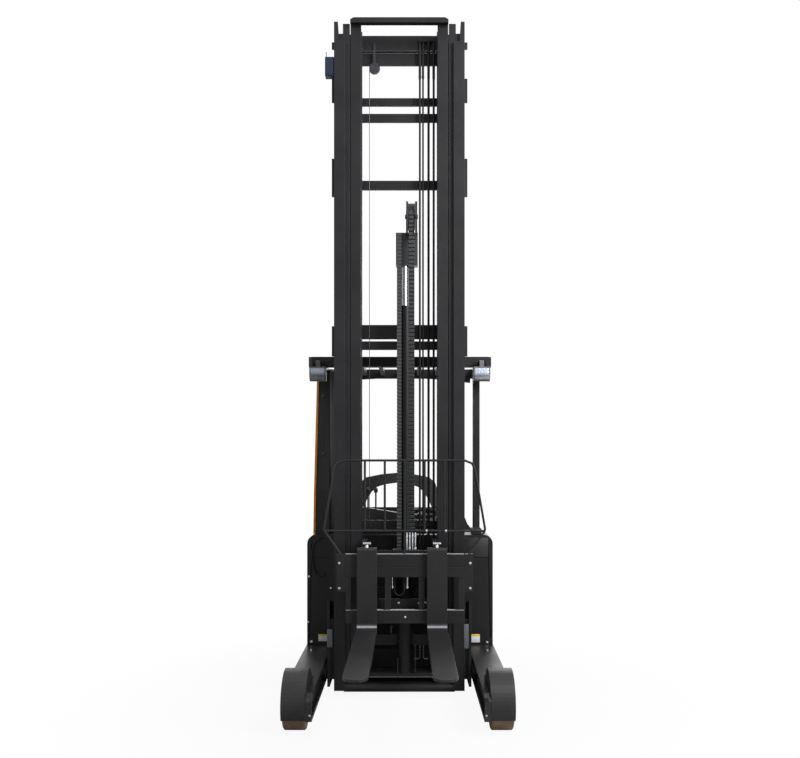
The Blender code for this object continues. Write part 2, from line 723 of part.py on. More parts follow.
back = prism(((SEAT_REAR_X, cushion_low), (SEAT_REAR_X + BACK_THICK, cushion_low),
              (SEAT_REAR_X + BACK_THICK, cushion_top + 0.10), (SEAT_REAR_X + BACK_THICK - 0.03, BACK_TOP_Z - 0.03),
              (SEAT_REAR_X + BACK_THICK - 0.045, BACK_TOP_Z), (SEAT_REAR_X, BACK_TOP_Z)), "Y",
             SEAT_MID_Y - SEAT_HALF + 0.01, SEAT_MID_Y + SEAT_HALF - 0.01)
piece("seat_back", "seat_cover", "chassis", [back], bevel=0.012, segments=2)

# Armrest console on the battery cover, with three small fixed levers
CONSOLE_Y = (0.700, 0.800)
console = prism(((-0.360, BODY_TOP_Z + TOUCH), (0.030, BODY_TOP_Z + TOUCH), (0.030, 1.060),
                 (-0.020, 1.120), (-0.330, 1.170), (-0.360, 1.150)), "Y", CONSOLE_Y[0], CONSOLE_Y[1])
levers = []
for x in (-0.285, -0.230, -0.175):
    stick = rod("Z", (x, 0.750), 0.006, 1.120, 1.262, 10)
    knob = turned(((0.0008, 0.0), (0.012, 0.006), (0.016, 0.022), (0.012, 0.036), (0.0008, 0.042)),
                  "Z", (x, 0.750, 1.256), 10)
    levers += [stick, knob]
piece("armrest_console", "black_plastic", "chassis", [console] + levers)

# Arched console over the rear hood. Columns: share of the half width, height above the hood
ARCH_MID_X = -0.025
ARCH_HALF = 0.315
ARCH_Y = (1.275, 1.318)
ARCH_OUTER = ((1.00, 0.0), (1.00, 0.120), (0.93, 0.190), (0.78, 0.232), (0.40, 0.256), (0.0, 0.268))
ARCH_INNER = ((0.0, 0.190), (0.30, 0.178), (0.50, 0.158), (0.64, 0.120), (0.76, 0.060), (0.84, 0.0))
hood_seat = HOOD_TOP_Z + TOUCH
right_side = [(ARCH_MID_X + share * ARCH_HALF, hood_seat + rise) for share, rise in ARCH_OUTER]
left_side = [(ARCH_MID_X - share * ARCH_HALF, hood_seat + rise) for share, rise in reversed(ARCH_OUTER[:-1])]
left_inner = [(ARCH_MID_X - share * ARCH_HALF, hood_seat + rise) for share, rise in reversed(ARCH_INNER)]
right_inner = [(ARCH_MID_X + share * ARCH_HALF, hood_seat + rise) for share, rise in ARCH_INNER[1:]]
arch = prism(right_side + left_side + left_inner + right_inner, "Y", ARCH_Y[0], ARCH_Y[1])
piece("rear_console", "black_plastic", "chassis", [arch])

# Steering wheel on a short column from the rear hood
WHEEL_X = 0.160
WHEEL_Y = 1.130
WHEEL_Z = 1.075
WHEEL_R = 0.125
WHEEL_RIM_R = 0.013
ring = disc_outline((WHEEL_R, 0.0), WHEEL_RIM_R, 6)
rim = turned(ring, "Z", (WHEEL_X, WHEEL_Y, WHEEL_Z), 24)
spokes = [box((WHEEL_X - WHEEL_R, WHEEL_X + WHEEL_R), (WHEEL_Y - 0.016, WHEEL_Y + 0.016),
              (WHEEL_Z - 0.006, WHEEL_Z + 0.006)),
          rod("Z", (WHEEL_X, WHEEL_Y), 0.032, WHEEL_Z - 0.020, WHEEL_Z + 0.014, 16),
          rod("Z", (WHEEL_X + WHEEL_R * 0.8, WHEEL_Y), 0.014, WHEEL_Z, WHEEL_Z + 0.045, 12)]
for part_shape in [rim] + spokes:
    turned_about(part_shape, (WHEEL_X, WHEEL_Y, WHEEL_Z), 18, "X")
column = tube(((WHEEL_X, WHEEL_Y, WHEEL_Z - 0.005), (WHEEL_X, WHEEL_Y + 0.045, WHEEL_Z - 0.130),
               (WHEEL_X, WHEEL_Y + 0.090, WHEEL_Z - 0.150)), 0.022, 12)
bracket = box((WHEEL_X - 0.035, WHEEL_X + 0.035), (WHEEL_Y + 0.070, HOOD_FRONT_Y - TOUCH),
              (WHEEL_Z - 0.185, WHEEL_Z - 0.115))
piece("steering_wheel", "black_plastic", "chassis", [rim] + spokes + [column, bracket])

# Tall panel behind the seat: a black inner part and an orange skin that leans outward
PANEL_FOOT_Y = (0.580, 1.240)
PANEL_HEAD_Y = (0.660, 1.225)
PANEL_IN_X = BODY_HALF - 0.143
PANEL_FOOT_X = BODY_HALF - 0.032
PANEL_HEAD_X = BODY_HALF - 0.050
PANEL_SKIN = 0.014
ROOF_LOW_Z = ROOF_TOP_Z - ROOF_BEAM_HIGH
PANEL_LOW_Z = BODY_TOP_Z + TOUCH
PANEL_TOP_Z = ROOF_LOW_Z - TOUCH


def panel_outline(margin):
    return ((PANEL_FOOT_Y[0] - margin, PANEL_LOW_Z), (PANEL_FOOT_Y[1] + margin, PANEL_LOW_Z),
            (PANEL_HEAD_Y[1] + margin, PANEL_TOP_Z), (PANEL_HEAD_Y[0] - margin, PANEL_TOP_Z),
            (PANEL_FOOT_Y[0] - margin, PANEL_LOW_Z + 0.30))


def lean_cut(inset):
    """Everything outside the leaning outer face, or outside a face that lies inside it."""
    foot = -PANEL_FOOT_X + inset
    head = -PANEL_HEAD_X + inset
    slope = (head - foot) / (PANEL_TOP_Z - PANEL_LOW_Z)
    return prism(((foot - slope * 0.05, PANEL_LOW_Z - 0.05), (foot - 0.10, PANEL_LOW_Z - 0.05),
                  (foot - 0.10, PANEL_TOP_Z + 0.05), (head + slope * 0.05, PANEL_TOP_Z + 0.05)), "Y",
                 PANEL_FOOT_Y[0] - 0.1, PANEL_FOOT_Y[1] + 0.1)


inner_panel = prism(panel_outline(0.0), "X", -PANEL_FOOT_X - 0.01, -PANEL_IN_X)
panel_hollow = prism(((PANEL_FOOT_Y[0] + 0.07, PANEL_LOW_Z + 0.60), (PANEL_FOOT_Y[1] - 0.10, PANEL_LOW_Z + 0.60),
                      (PANEL_HEAD_Y[1] - 0.09, PANEL_TOP_Z - 0.10), (PANEL_HEAD_Y[0] + 0.07, PANEL_TOP_Z - 0.10)),
                     "X", -PANEL_IN_X - 0.012, -PANEL_IN_X + 0.02)
piece("side_panel", "black_coat", "chassis", [inner_panel], [panel_hollow, lean_cut(PANEL_SKIN + TOUCH)])

skin_block = prism(panel_outline(0.010), "X", -PANEL_FOOT_X - 0.01, -PANEL_IN_X - 0.03)
skin_inside = box((-PANEL_FOOT_X - 0.005, -PANEL_IN_X), (PANEL_FOOT_Y[0] - 0.05, PANEL_FOOT_Y[1] + 0.05),
                  (PANEL_LOW_Z - 0.02, PANEL_TOP_Z + 0.02))
piece("side_skin", "orange_coat", "chassis", [skin_block],
      [lean_cut(0.0), carved(skin_inside, [lean_cut(PANEL_SKIN)])])

# Guard posts on the entry side
POST_FRONT_Y = (0.495, 0.555)
POST_REAR_Y = (HOOD_FRONT_Y + 0.001, HOOD_FRONT_Y + 0.041)
POST_X = BODY_HALF - 0.1105
POST_HALF = 0.0225
REAR_POST_X = BODY_HALF - 0.043
front_post = box((POST_X - POST_HALF, POST_X + POST_HALF), POST_FRONT_Y, (PANEL_LOW_Z, PANEL_TOP_Z))
front_foot = box((POST_X - POST_HALF - 0.012, POST_X + POST_HALF + 0.012),
                 (POST_FRONT_Y[0] - 0.008, POST_FRONT_Y[1] + 0.020), (PANEL_LOW_Z, PANEL_LOW_Z + 0.045))
piece("guard_post_front", "dark_coat", "chassis", [front_post, front_foot], bevel=0.004)
rear_post = box((REAR_POST_X - POST_HALF, REAR_POST_X + POST_HALF), POST_REAR_Y,
                (HOOD_SHOULDER_Z + TOUCH, PANEL_TOP_Z))
piece("guard_post_rear", "dark_coat", "chassis", [rear_post], bevel=0.004)

# Overhead guard: a frame with bars that run front to rear
ROOF_CORNER = 0.025


def roof_outline(inset):
    half = ROOF_HALF - inset
    front = ROOF_FRONT_Y + inset
    rear = ROOF_REAR_Y - inset
    cut = ROOF_CORNER
    return ((-half + cut, front), (half - cut, front), (half, front + cut), (half, rear - cut),
            (half - cut, rear), (-half + cut, rear), (-half, rear - cut), (-half, front + cut))


ring_out = prism(roof_outline(0.0), "Z", ROOF_LOW_Z, ROOF_TOP_Z)
ring_in = prism(roof_outline(ROOF_BEAM_WIDE), "Z", ROOF_LOW_Z - 0.02, ROOF_TOP_Z + 0.02)
ring_shape = carved(ring_out, [ring_in])
bars = []
span = 2 * (ROOF_HALF - ROOF_BEAM_WIDE)
for index in range(ROOF_BARS):
    x = -span / 2 + span * (index + 1) / (ROOF_BARS + 1)
    bars.append(box((x - ROOF_BAR_WIDE / 2, x + ROOF_BAR_WIDE / 2),
                    (ROOF_FRONT_Y + ROOF_BEAM_WIDE - 0.01, ROOF_REAR_Y - ROOF_BEAM_WIDE + 0.01),
                    (ROOF_TOP_Z - 0.010 - ROOF_BAR_HIGH, ROOF_TOP_Z - 0.010)))
ARCH_BEAM_HALF = ROOF_HALF - 0.080
beam_line = [(ARCH_BEAM_HALF, ROOF_TOP_Z - 0.010)]
for index in range(9):
    share = 1.0 - index / 4.0
    beam_line.append((ARCH_BEAM_HALF * share, ROOF_LOW_Z - 0.034 + 0.038 * (1.0 - share * share)))
beam_line.append((-ARCH_BEAM_HALF, ROOF_TOP_Z - 0.010))
rear_beam = prism(beam_line, "Y", ROOF_REAR_Y - ROOF_BEAM_WIDE + 0.012, ROOF_REAR_Y - 0.012)
piece("overhead_guard", "dark_coat", "chassis", [ring_shape, rear_beam] + bars)

# Work lamps under the guard's front corners: a housing with a clear face above and ribs below
LAMP_HALF = 0.055
LAMP_X = ROOF_HALF - 0.072
LAMP_Y = (0.350, 0.430)
LAMP_Z = (2.025, 2.118)
for name, side in (("lamp_left", 1), ("lamp_right", -1)):
    middle = side * LAMP_X
    housing = prism(((LAMP_Y[0], LAMP_Z[0] + 0.030), (LAMP_Y[0] + 0.025, LAMP_Z[0]), (LAMP_Y[1] - 0.020, LAMP_Z[0]),
                     (LAMP_Y[1], LAMP_Z[0] + 0.030), (LAMP_Y[1] - 0.012, LAMP_Z[1]), (LAMP_Y[0], LAMP_Z[1])),
                    "X", middle - LAMP_HALF, middle + LAMP_HALF)
    arm = box((middle - 0.014, middle + 0.014), (LAMP_Y[1] - 0.055, ROOF_FRONT_Y - TOUCH),
              (LAMP_Z[1] - 0.010, LAMP_Z[1] + 0.045))
    cuts = []
    for rib in range(4):
        x = middle - 0.036 + 0.024 * rib
        cuts.append(box((x - 0.004, x + 0.004), (LAMP_Y[0] - 0.01, LAMP_Y[0] + 0.010),
                        (LAMP_Z[0] - 0.01, LAMP_Z[0] + 0.036)))
    cuts.append(box((middle - LAMP_HALF + 0.007, middle + LAMP_HALF - 0.007), (LAMP_Y[0] - 0.01, LAMP_Y[0] + 0.003),
                    (LAMP_Z[0] + 0.044, LAMP_Z[1] - 0.007)))
    piece(name, "grey_panel", "chassis", [housing, arm], cuts)

# Steering: a turntable in the chassis, with the drive motor above and a fork for the wheel below
TURN_LOW_Z = CHASSIS_TOP_Z - CHASSIS_SHEET - 0.016
YOKE_THICK = 0.030
DRIVE_SIDE_GAP = 0.006
MOTOR_TOP_Z = 0.780
yoke_in = DRIVE_WHEEL_W / 2 + DRIVE_SIDE_GAP
table = rod("Z", (DRIVE_X, DRIVE_Y), NECK_R + TURNTABLE_LIP, TURN_LOW_Z,
            CHASSIS_TOP_Z - CHASSIS_SHEET - RUN, 28)
neck_bar = rod("Z", (DRIVE_X, DRIVE_Y), NECK_R, TURN_LOW_Z + 0.005, CHASSIS_TOP_Z + 0.005, 28)
flange = rod("Z", (DRIVE_X, DRIVE_Y), NECK_R + TURNTABLE_LIP, CHASSIS_TOP_Z + RUN, CHASSIS_TOP_Z + 0.012, 28)
motor = rod("Z", (DRIVE_X, DRIVE_Y), MOTOR_R, CHASSIS_TOP_Z - 0.01, MOTOR_TOP_Z, 24)
motor_cap = rod("Z", (DRIVE_X, DRIVE_Y), MOTOR_R - 0.020, MOTOR_TOP_Z - 0.005, MOTOR_TOP_Z + 0.025, 24)
cheeks = []
for side in (1, -1):
    x0 = DRIVE_X + side * yoke_in
    x1 = DRIVE_X + side * (yoke_in + YOKE_THICK)
    cheeks.append(prism(((DRIVE_Y - 0.075, TURN_LOW_Z + 0.005), (DRIVE_Y - 0.040, DRIVE_WHEEL_R - 0.040),
                         (DRIVE_Y + 0.040, DRIVE_WHEEL_R - 0.040), (DRIVE_Y + 0.075, TURN_LOW_Z + 0.005)),
                        "X", min(x0, x1), max(x0, x1)))
drive_pin = rod("X", (DRIVE_Y, DRIVE_WHEEL_R), DRIVE_PIN_R, DRIVE_X - yoke_in - 0.01, DRIVE_X + yoke_in + 0.01)
piece("turntable", "dark_coat", "steering", [table, neck_bar, flange, motor, motor_cap] + cheeks + [drive_pin])

half = DRIVE_WHEEL_W / 2
drive_profile = (
    (DRIVE_PIN_R + RUN, -half), (DRIVE_WHEEL_R - 0.008, -half), (DRIVE_WHEEL_R, -half + 0.008),
    (DRIVE_WHEEL_R, half - 0.008), (DRIVE_WHEEL_R - 0.008, half), (DRIVE_PIN_R + RUN, half),
)
piece("drive_wheel", "tyre_brown", "drive_wheel",
      [turned(drive_profile, "X", (DRIVE_X, DRIVE_Y, DRIVE_WHEEL_R), 32)])

# Reach carriage: side plates with rollers in the legs' channels, joined behind the mast
PLATE_IN_X = REACH_PLATE_OUT_X - REACH_PLATE
RAIL_SIDE_X = OUTER_OUT_X + TOUCH
REACH_ROLLERS_Y = (0.085, 0.385)
ROLLER_END_X = GROOVE_X - 0.006

plate = prism(((0.030, 0.077), (0.440, 0.077), (0.440, 0.360), (0.300, 0.560), (0.030, 0.620)), "X",
              PLATE_IN_X, REACH_PLATE_OUT_X)
block = box((RAIL_SIDE_X, PLATE_IN_X + 0.005), (0.050, 0.190), (0.120, 0.500))
side_parts = [plate, block]
for y in REACH_ROLLERS_Y:
    side_parts.append(rod("X", (y, ROLLER_Z), 0.022, PLATE_IN_X + 0.004, REACH_PLATE_OUT_X + 0.010, 16))
    side_parts.append(rod("X", (y, ROLLER_Z), REACH_ROLLER_R, REACH_PLATE_OUT_X + 0.006, ROLLER_END_X, 32))
beam = box((-PLATE_IN_X - 0.005, PLATE_IN_X + 0.005), (REACH_BEAM_REAR_Y - 0.075, REACH_BEAM_REAR_Y),
           (0.115, 0.235))
reach_parts = [beam]
for item in side_parts:
    reach_parts += both(item)
piece("reach_carriage", "black_coat", "mast_base", reach_parts)

piece("reach_rod", "chrome", "mast_base",
      [rod("Y", (REACH_X, REACH_Z), REACH_ROD_R, REACH_BEAM_REAR_Y + TOUCH,
           REACH_BARREL_FRONT_Y + REACH_STROKE + REACH_ROD_OVERLAP)])


# Mast rails are channels that open toward the middle of the truck
def channel(in_x, out_x, front, rear, flange, web, low, top):
    outline = ((in_x, front), (out_x, front), (out_x, rear), (in_x, rear), (in_x, rear - flange),
               (out_x - web, rear - flange), (out_x - web, front + flange), (in_x, front + flange))
    return prism(outline, "Z", low, top)


OUTER_REAR_Y = MAST_FRONT_Y + OUTER_DEEP
MIDDLE_FRONT_Y = MAST_FRONT_Y + OUTER_FLANGE + CLEAR
MIDDLE_REAR_Y = OUTER_REAR_Y - OUTER_FLANGE - CLEAR
MIDDLE_OUT_X = OUTER_OUT_X - OUTER_WEB - CLEAR
INNER_FRONT_Y = MIDDLE_FRONT_Y
INNER_REAR_Y = MIDDLE_REAR_Y - 0.0065
INNER_OUT_X = MIDDLE_IN_X - CLEAR
OUTER_TIE_Y = (OUTER_REAR_Y - 0.001, OUTER_REAR_Y + TIE_THICK)
MIDDLE_TIE_Y = (MIDDLE_REAR_Y - 0.001, OUTER_TIE_Y[0] - 0.008)
INNER_TIE_Y = (INNER_REAR_Y - INNER_FLANGE + 0.001, INNER_REAR_Y - 0.001)

# Outer mast. Columns: tie's foot, tie's head, ear's foot, ear's head (no ear where they are equal)
OUTER_TIES = (
    (4.140, 4.190, 4.166, 4.208),
    (3.796, 3.846, 3.820, 3.972),
    (3.251, 3.310, 3.207, 3.453),
    (2.282, 2.374, 2.171, 2.366),
    (2.213, 2.268, 0.0, 0.0),
    (1.020, 1.080, 0.0, 0.0),
    (0.450, 0.530, 0.0, 0.0),
)
EAR_OUT_X = 0.440
outer_rail = channel(OUTER_IN_X, OUTER_OUT_X, MAST_FRONT_Y, OUTER_REAR_Y, OUTER_FLANGE, OUTER_WEB,
                     MAST_FOOT_Z, OUTER_TOP_Z)
notch = prism(((OUTER_IN_X - 0.01, OUTER_NOTCH_Z), (OUTER_NOTCH_X, OUTER_NOTCH_Z),
               (OUTER_NOTCH_X + 0.0085, OUTER_TOP_Z + 0.01), (OUTER_IN_X - 0.01, OUTER_TOP_Z + 0.01)), "Y",
              MAST_FRONT_Y - 0.01, OUTER_REAR_Y + 0.0005)
outer_parts = both(carved(outer_rail, [notch]))
for low, top, ear_low, ear_top in OUTER_TIES:
    outer_parts.append(box((-OUTER_OUT_X + 0.002, OUTER_OUT_X - 0.002), OUTER_TIE_Y, (low, top)))
    if ear_top > ear_low:
        outer_parts += both(box((OUTER_OUT_X - 0.030, EAR_OUT_X), OUTER_TIE_Y, (ear_low, ear_top)))
foot_bar = rod("X", (MAST_FRONT_Y + 0.028, MAST_FOOT_Z + 0.015), 0.027, -0.348, 0.348, 20)
foot_plate = box((-OUTER_OUT_X + 0.005, OUTER_OUT_X - 0.005), (MAST_FRONT_Y + 0.010, OUTER_REAR_Y - 0.010),
                 (MAST_FOOT_Z + 0.002, 0.092))
barrel_foot = box((LIFT_ROD_X - 0.046, LIFT_ROD_X + 0.046), (OUTER_REAR_Y - 0.008, LIFT_ROD_Y + LIFT_BARREL_R),
                  (0.072, 0.100))
outer_parts += [foot_bar, foot_plate] + both(barrel_foot)
piece("outer_mast", "black_coat", "mast_base", outer_parts)

for name, side in (("lift_barrel_left", 1), ("lift_barrel_right", -1)):
    centre = (side * LIFT_ROD_X, LIFT_ROD_Y)
    wall = rod("Z", centre, LIFT_BARREL_R, 0.100 + TOUCH, LIFT_BARREL_TOP_Z)
    gland = rod("Z", centre, LIFT_BARREL_R + 0.004, LIFT_BARREL_TOP_Z - 0.060, LIFT_BARREL_TOP_Z - 0.004)
    hole = rod("Z", centre, LIFT_ROD_R + RUN, LIFT_ROD_FOOT_Z - 0.100, LIFT_BARREL_TOP_Z + 0.01)
    piece(name, "black_coat", "mast_base", [wall, gland], [hole])

sensor = box((-OUTER_OUT_X - 0.058, -OUTER_OUT_X - TOUCH), (0.030, 0.090), (3.909, 4.028))
piece("mast_sensor", "dark_coat", "mast_base", [sensor], bevel=0.006, segments=2)

# Middle mast. Columns: tie's foot, tie's head
MIDDLE_TIES = ((4.047, 4.123), (3.680, 3.735), (2.215, 2.260), (1.040, 1.100), (0.300, 0.370))
ARM_X = (OUTER_IN_X - 0.015, OUTER_NOTCH_X - CLEAR)
ARM_LOW_Z = MIDDLE_TOP_Z - 0.038
middle_rail = channel(MIDDLE_IN_X, MIDDLE_OUT_X, MIDDLE_FRONT_Y, MIDDLE_REAR_Y, MIDDLE_FLANGE, MIDDLE_WEB,
                      MIDDLE_FOOT_Z, MIDDLE_TOP_Z)
middle_notch = box((MIDDLE_NOTCH_X, MIDDLE_OUT_X + 0.01), (MIDDLE_FRONT_Y - 0.01, MIDDLE_REAR_Y + 0.01),
                   (MIDDLE_NOTCH_Z, MIDDLE_TOP_Z + 0.01))
middle_parts = both(carved(middle_rail, [middle_notch]))
for low, top in MIDDLE_TIES:
    middle_parts.append(box((-OUTER_IN_X + 0.006, OUTER_IN_X - 0.006), MIDDLE_TIE_Y, (low, top)))
middle_parts += both(box(ARM_X, (MIDDLE_REAR_Y - 0.008, LIFT_ROD_Y + 0.030), (ARM_LOW_Z, MIDDLE_TOP_Z - 0.002)))
pad_x = (MIDDLE_OUT_X - 0.040, MIDDLE_OUT_X - 0.008)
middle_parts += both(box(pad_x, (MIDDLE_FRONT_Y - CLEAR + TOUCH, MIDDLE_FRONT_Y + 0.001), (0.135, 0.235)))
middle_parts += both(box(pad_x, (MIDDLE_REAR_Y - 0.001, MIDDLE_REAR_Y + CLEAR - TOUCH), (0.135, 0.235)))
piece("middle_mast", "black_coat", "mast_middle", middle_parts)

for name, side in (("lift_rod_left", 1), ("lift_rod_right", -1)):
    piece(name, "chrome", "mast_middle",
          [rod("Z", (side * LIFT_ROD_X, LIFT_ROD_Y), LIFT_ROD_R, LIFT_ROD_FOOT_Z, ARM_LOW_Z - TOUCH)])

# Inner mast, with guide rollers that run in the middle mast. Columns: tie's foot, tie's head
INNER_TIES = ((4.135, 4.229), (1.050, 1.110), (0.620, 0.680))
INNER_FOOT_THICK = 0.025
GUIDE_Z = (0.230, 0.950)
guide_y = (MIDDLE_FRONT_Y + MIDDLE_REAR_Y) / 2
guide_r = (MIDDLE_REAR_Y - MIDDLE_FRONT_Y) / 2 - MIDDLE_FLANGE - RUN
inner_parts = both(channel(INNER_IN_X, INNER_OUT_X, INNER_FRONT_Y, INNER_REAR_Y, INNER_FLANGE, INNER_WEB,
                           INNER_FOOT_Z, INNER_TOP_Z))
for z in GUIDE_Z:
    inner_parts += both(rod("X", (guide_y, z), guide_r, INNER_OUT_X - 0.002, MIDDLE_OUT_X - MIDDLE_WEB - CLEAR, 28))
for low, top in INNER_TIES:
    inner_parts.append(box((-INNER_IN_X - 0.005, INNER_IN_X + 0.005), INNER_TIE_Y, (low, top)))
inner_parts.append(box((-INNER_IN_X - 0.005, INNER_IN_X + 0.005), (INNER_FRONT_Y + 0.020, INNER_TIE_Y[1]),
                       (INNER_FOOT_Z, INNER_FOOT_Z + INNER_FOOT_THICK)))
bar_low = INNER_BAR_TOP_Z - INNER_BAR_HIGH
inner_parts.append(prism(((-INNER_OUT_X, bar_low), (INNER_OUT_X, bar_low), (INNER_OUT_X, bar_low + 0.020),
                          (INNER_OUT_X - 0.022, INNER_BAR_TOP_Z), (-INNER_OUT_X + 0.022, INNER_BAR_TOP_Z),
                          (-INNER_OUT_X, bar_low + 0.020)), "Y", INNER_FRONT_Y - 0.037, INNER_FRONT_Y + 0.001))
piece("inner_mast", "black_coat", "mast_inner", inner_parts)

# Free-lift cylinder: a barrel on the inner mast's foot, with the chain's anchor at its head
ANCHOR_TOP_Z = FREE_BARREL_TOP_Z + 0.004
CHAIN_X = (PULLEY_X - CHAIN_W / 2, PULLEY_X + CHAIN_W / 2)
barrel_low = INNER_FOOT_Z + INNER_FOOT_THICK + TOUCH
free_barrel = rod("Z", (FREE_X, FREE_Y), FREE_BARREL_R, barrel_low, FREE_BARREL_TOP_Z, 28)
anchor = box((CHAIN_X[0], CHAIN_X[1]), (FREE_Y + FREE_ROD_R + 0.004, INNER_TIE_Y[0] - 0.002),
             (ANCHOR_TOP_Z - 0.035, ANCHOR_TOP_Z))
free_bore = rod("Z", (FREE_X, FREE_Y), FREE_ROD_R + RUN, 1.050, FREE_BARREL_TOP_Z + 0.01, 28)
piece("free_lift_barrel", "dark_coat", "mast_inner", [free_barrel, anchor], [free_bore])

# Hoses clamped along the inner mast. Columns: place across, radius
HOSES = ((0.1305, 0.0067), (0.1508, 0.0058), (0.1864, 0.0080), (0.2195, 0.0075))
SLEEVE_R = 0.0100
hose_y = INNER_TIE_Y[0] - TOUCH - SLEEVE_R
hose_front = hose_y - SLEEVE_R + 0.002
hose_parts = []
for x, radius in HOSES:
    sleeve = min(radius + 0.0018, SLEEVE_R - 0.001)
    hose_parts.append(spindle(((radius, 0.750), (radius, 3.945), (sleeve, 3.946), (sleeve, 4.140),
                               (radius, 4.141), (radius, 4.206)), (x, hose_y), 6))
for z in (1.080, 1.900, 2.800, 3.716, 3.813, 3.974, 4.190):
    hose_parts.append(box((HOSES[0][0] - 0.0092, HOSES[-1][0] + 0.0070),
                          (hose_front, hose_y + SLEEVE_R), (z - 0.008, z + 0.008)))
piece("mast_hoses", "rubber_black", "mast_inner", hose_parts)

SHEAVE_R = 0.035
SHEAVE_Z = 4.013
WIRE_X = -0.1936
wire_r = 0.002
sheave_x = WIRE_X + SHEAVE_R - wire_r
sheave = rod("Y", (sheave_x, SHEAVE_Z), SHEAVE_R, INNER_TIE_Y[0] - 0.016, INNER_TIE_Y[0] - TOUCH, 24)
hanger = box((sheave_x - 0.008, sheave_x + 0.008), (INNER_TIE_Y[0] - 0.010, INNER_TIE_Y[0] - TOUCH),
             (SHEAVE_Z + 0.003, 4.180))
wire = rod("Z", (WIRE_X, INNER_TIE_Y[0] - TOUCH - wire_r), wire_r, 1.060, SHEAVE_Z + 0.003, 8)
piece("signal_wire", "steel", "mast_inner", [sheave, hanger, wire])

# Free-lift head: rod, crosshead and clevis, with the chain pulley between its cheeks
CHEEK = 0.010
CHEEK_GAP = 0.0025
HEAD_Y = (0.0745, 0.145)
head = box((-0.022, PULLEY_X + 0.040), HEAD_Y, (HEAD_LOW_Z, HEAD_TOP_Z))
energy_back = FREE_Y - FREE_BARREL_R - 0.0065
hook = box((ENERGY_X[0] - 0.004, ENERGY_X[1] + 0.004), (energy_back + TOUCH, HEAD_Y[0] + 0.001),
           (HEAD_TOP_Z - 0.085, HEAD_TOP_Z - 0.012))
free_rod = rod("Z", (FREE_X, FREE_Y), FREE_ROD_R, FREE_ROD_FOOT_Z, HEAD_LOW_Z + 0.010, 24)
cheek_in = PULLEY_W / 2 + CHEEK_GAP
cheeks = []
for side in (1, -1):
    x0 = PULLEY_X + side * cheek_in
    x1 = PULLEY_X + side * (cheek_in + CHEEK)
    cheeks.append(prism(((HEAD_Y[0] + 0.001, HEAD_TOP_Z - 0.010), (PULLEY_Y + 0.050, HEAD_TOP_Z - 0.010),
                         (PULLEY_Y + 0.040, PULLEY_Z + 0.030), (PULLEY_Y - 0.020, PULLEY_Z + 0.030)), "X",
                        min(x0, x1), max(x0, x1)))
pin_half = cheek_in + CHEEK + 0.006
pulley_pin = rod("X", (PULLEY_Y, PULLEY_Z), 0.014, PULLEY_X - pin_half, PULLEY_X + pin_half, 20)
piece("free_lift_rod", "chrome", "free_lift_head", [free_rod, head, hook] + cheeks + [pulley_pin])

pulley_half = PULLEY_W / 2
rim_r = PULLEY_R + CHAIN_THICK + 0.003
pulley_profile = (
    (0.014 + RUN, -pulley_half), (rim_r, -pulley_half), (rim_r, -pulley_half + 0.003),
    (PULLEY_R, -pulley_half + 0.003), (PULLEY_R, pulley_half - 0.003), (rim_r, pulley_half - 0.003),
    (rim_r, pulley_half), (0.014 + RUN, pulley_half),
)
piece("chain_pulley", "steel", "free_lift_head",
      [turned(pulley_profile, "X", (PULLEY_X, PULLEY_Y, PULLEY_Z), 24)])


# Chains are a row of links, so each straight run has a V between one link's end and the next
def linked_edge(face, notch, low, high, pitch, half):
    """Points down a straight edge from high to low, stepping in by notch between the links."""
    count = round((high - low) / pitch)
    points = []
    for index in range(count):
        z = high - (index + 0.5) * (high - low) / count
        points += [(face, z + half), (face + notch, z), (face, z - half)]
    return points


# Lift chain: leaf links from the anchor over the pulley and down to the carriage's shelf
SHELF_TOP_Z = 0.940
LEAF_END = 0.0045
chain_in = (PULLEY_R + TOUCH) / math.cos(math.pi / 32)
chain_out = chain_in + CHAIN_THICK
chain_back = PULLEY_Y + chain_out
chain_front = PULLEY_Y - chain_out
chain_line = [(chain_back, ANCHOR_TOP_Z + TOUCH)]
chain_line += reversed(linked_edge(chain_back, -CHAIN_NOTCH, ANCHOR_TOP_Z, PULLEY_Z, CHAIN_PITCH, LEAF_END))
chain_line += arc_points((PULLEY_Y, PULLEY_Z), chain_out, 0, 180, 16)
chain_line += linked_edge(chain_front, CHAIN_NOTCH, SHELF_TOP_Z, PULLEY_Z, CHAIN_PITCH, LEAF_END)
chain_line += [(chain_front, SHELF_TOP_Z + TOUCH), (PULLEY_Y - chain_in, SHELF_TOP_Z + TOUCH)]
chain_line += arc_points((PULLEY_Y, PULLEY_Z), chain_in, 180, 0, 16)
chain_line += [(PULLEY_Y + chain_in, ANCHOR_TOP_Z + TOUCH)]
piece("lift_chain", "steel", "free_lift_head",
      [prism(chain_line, "X", CHAIN_X[0] + 0.0005, CHAIN_X[1] - 0.0005)])

# Energy chain: hinged hose links that hang from the head, with its first link rounded off
energy_low = SHELF_TOP_Z + TOUCH
energy_top = HEAD_TOP_Z - 0.015
energy_line = [(ENERGY_X[1], energy_low), (ENERGY_X[1], energy_top - 0.008), (ENERGY_X[1] - 0.006, energy_top),
               (ENERGY_X[0] + 0.006, energy_top), (ENERGY_X[0], energy_top - 0.008)]
energy_line += linked_edge(ENERGY_X[0], ENERGY_NOTCH, energy_low, energy_top - 0.010, ENERGY_PITCH, 0.0045)
energy_line += [(ENERGY_X[0], energy_low)]
energy = prism(energy_line, "Y", energy_back - ENERGY_DEEP, energy_back)
piece("energy_chain", "black_plastic", "free_lift_head", [energy])

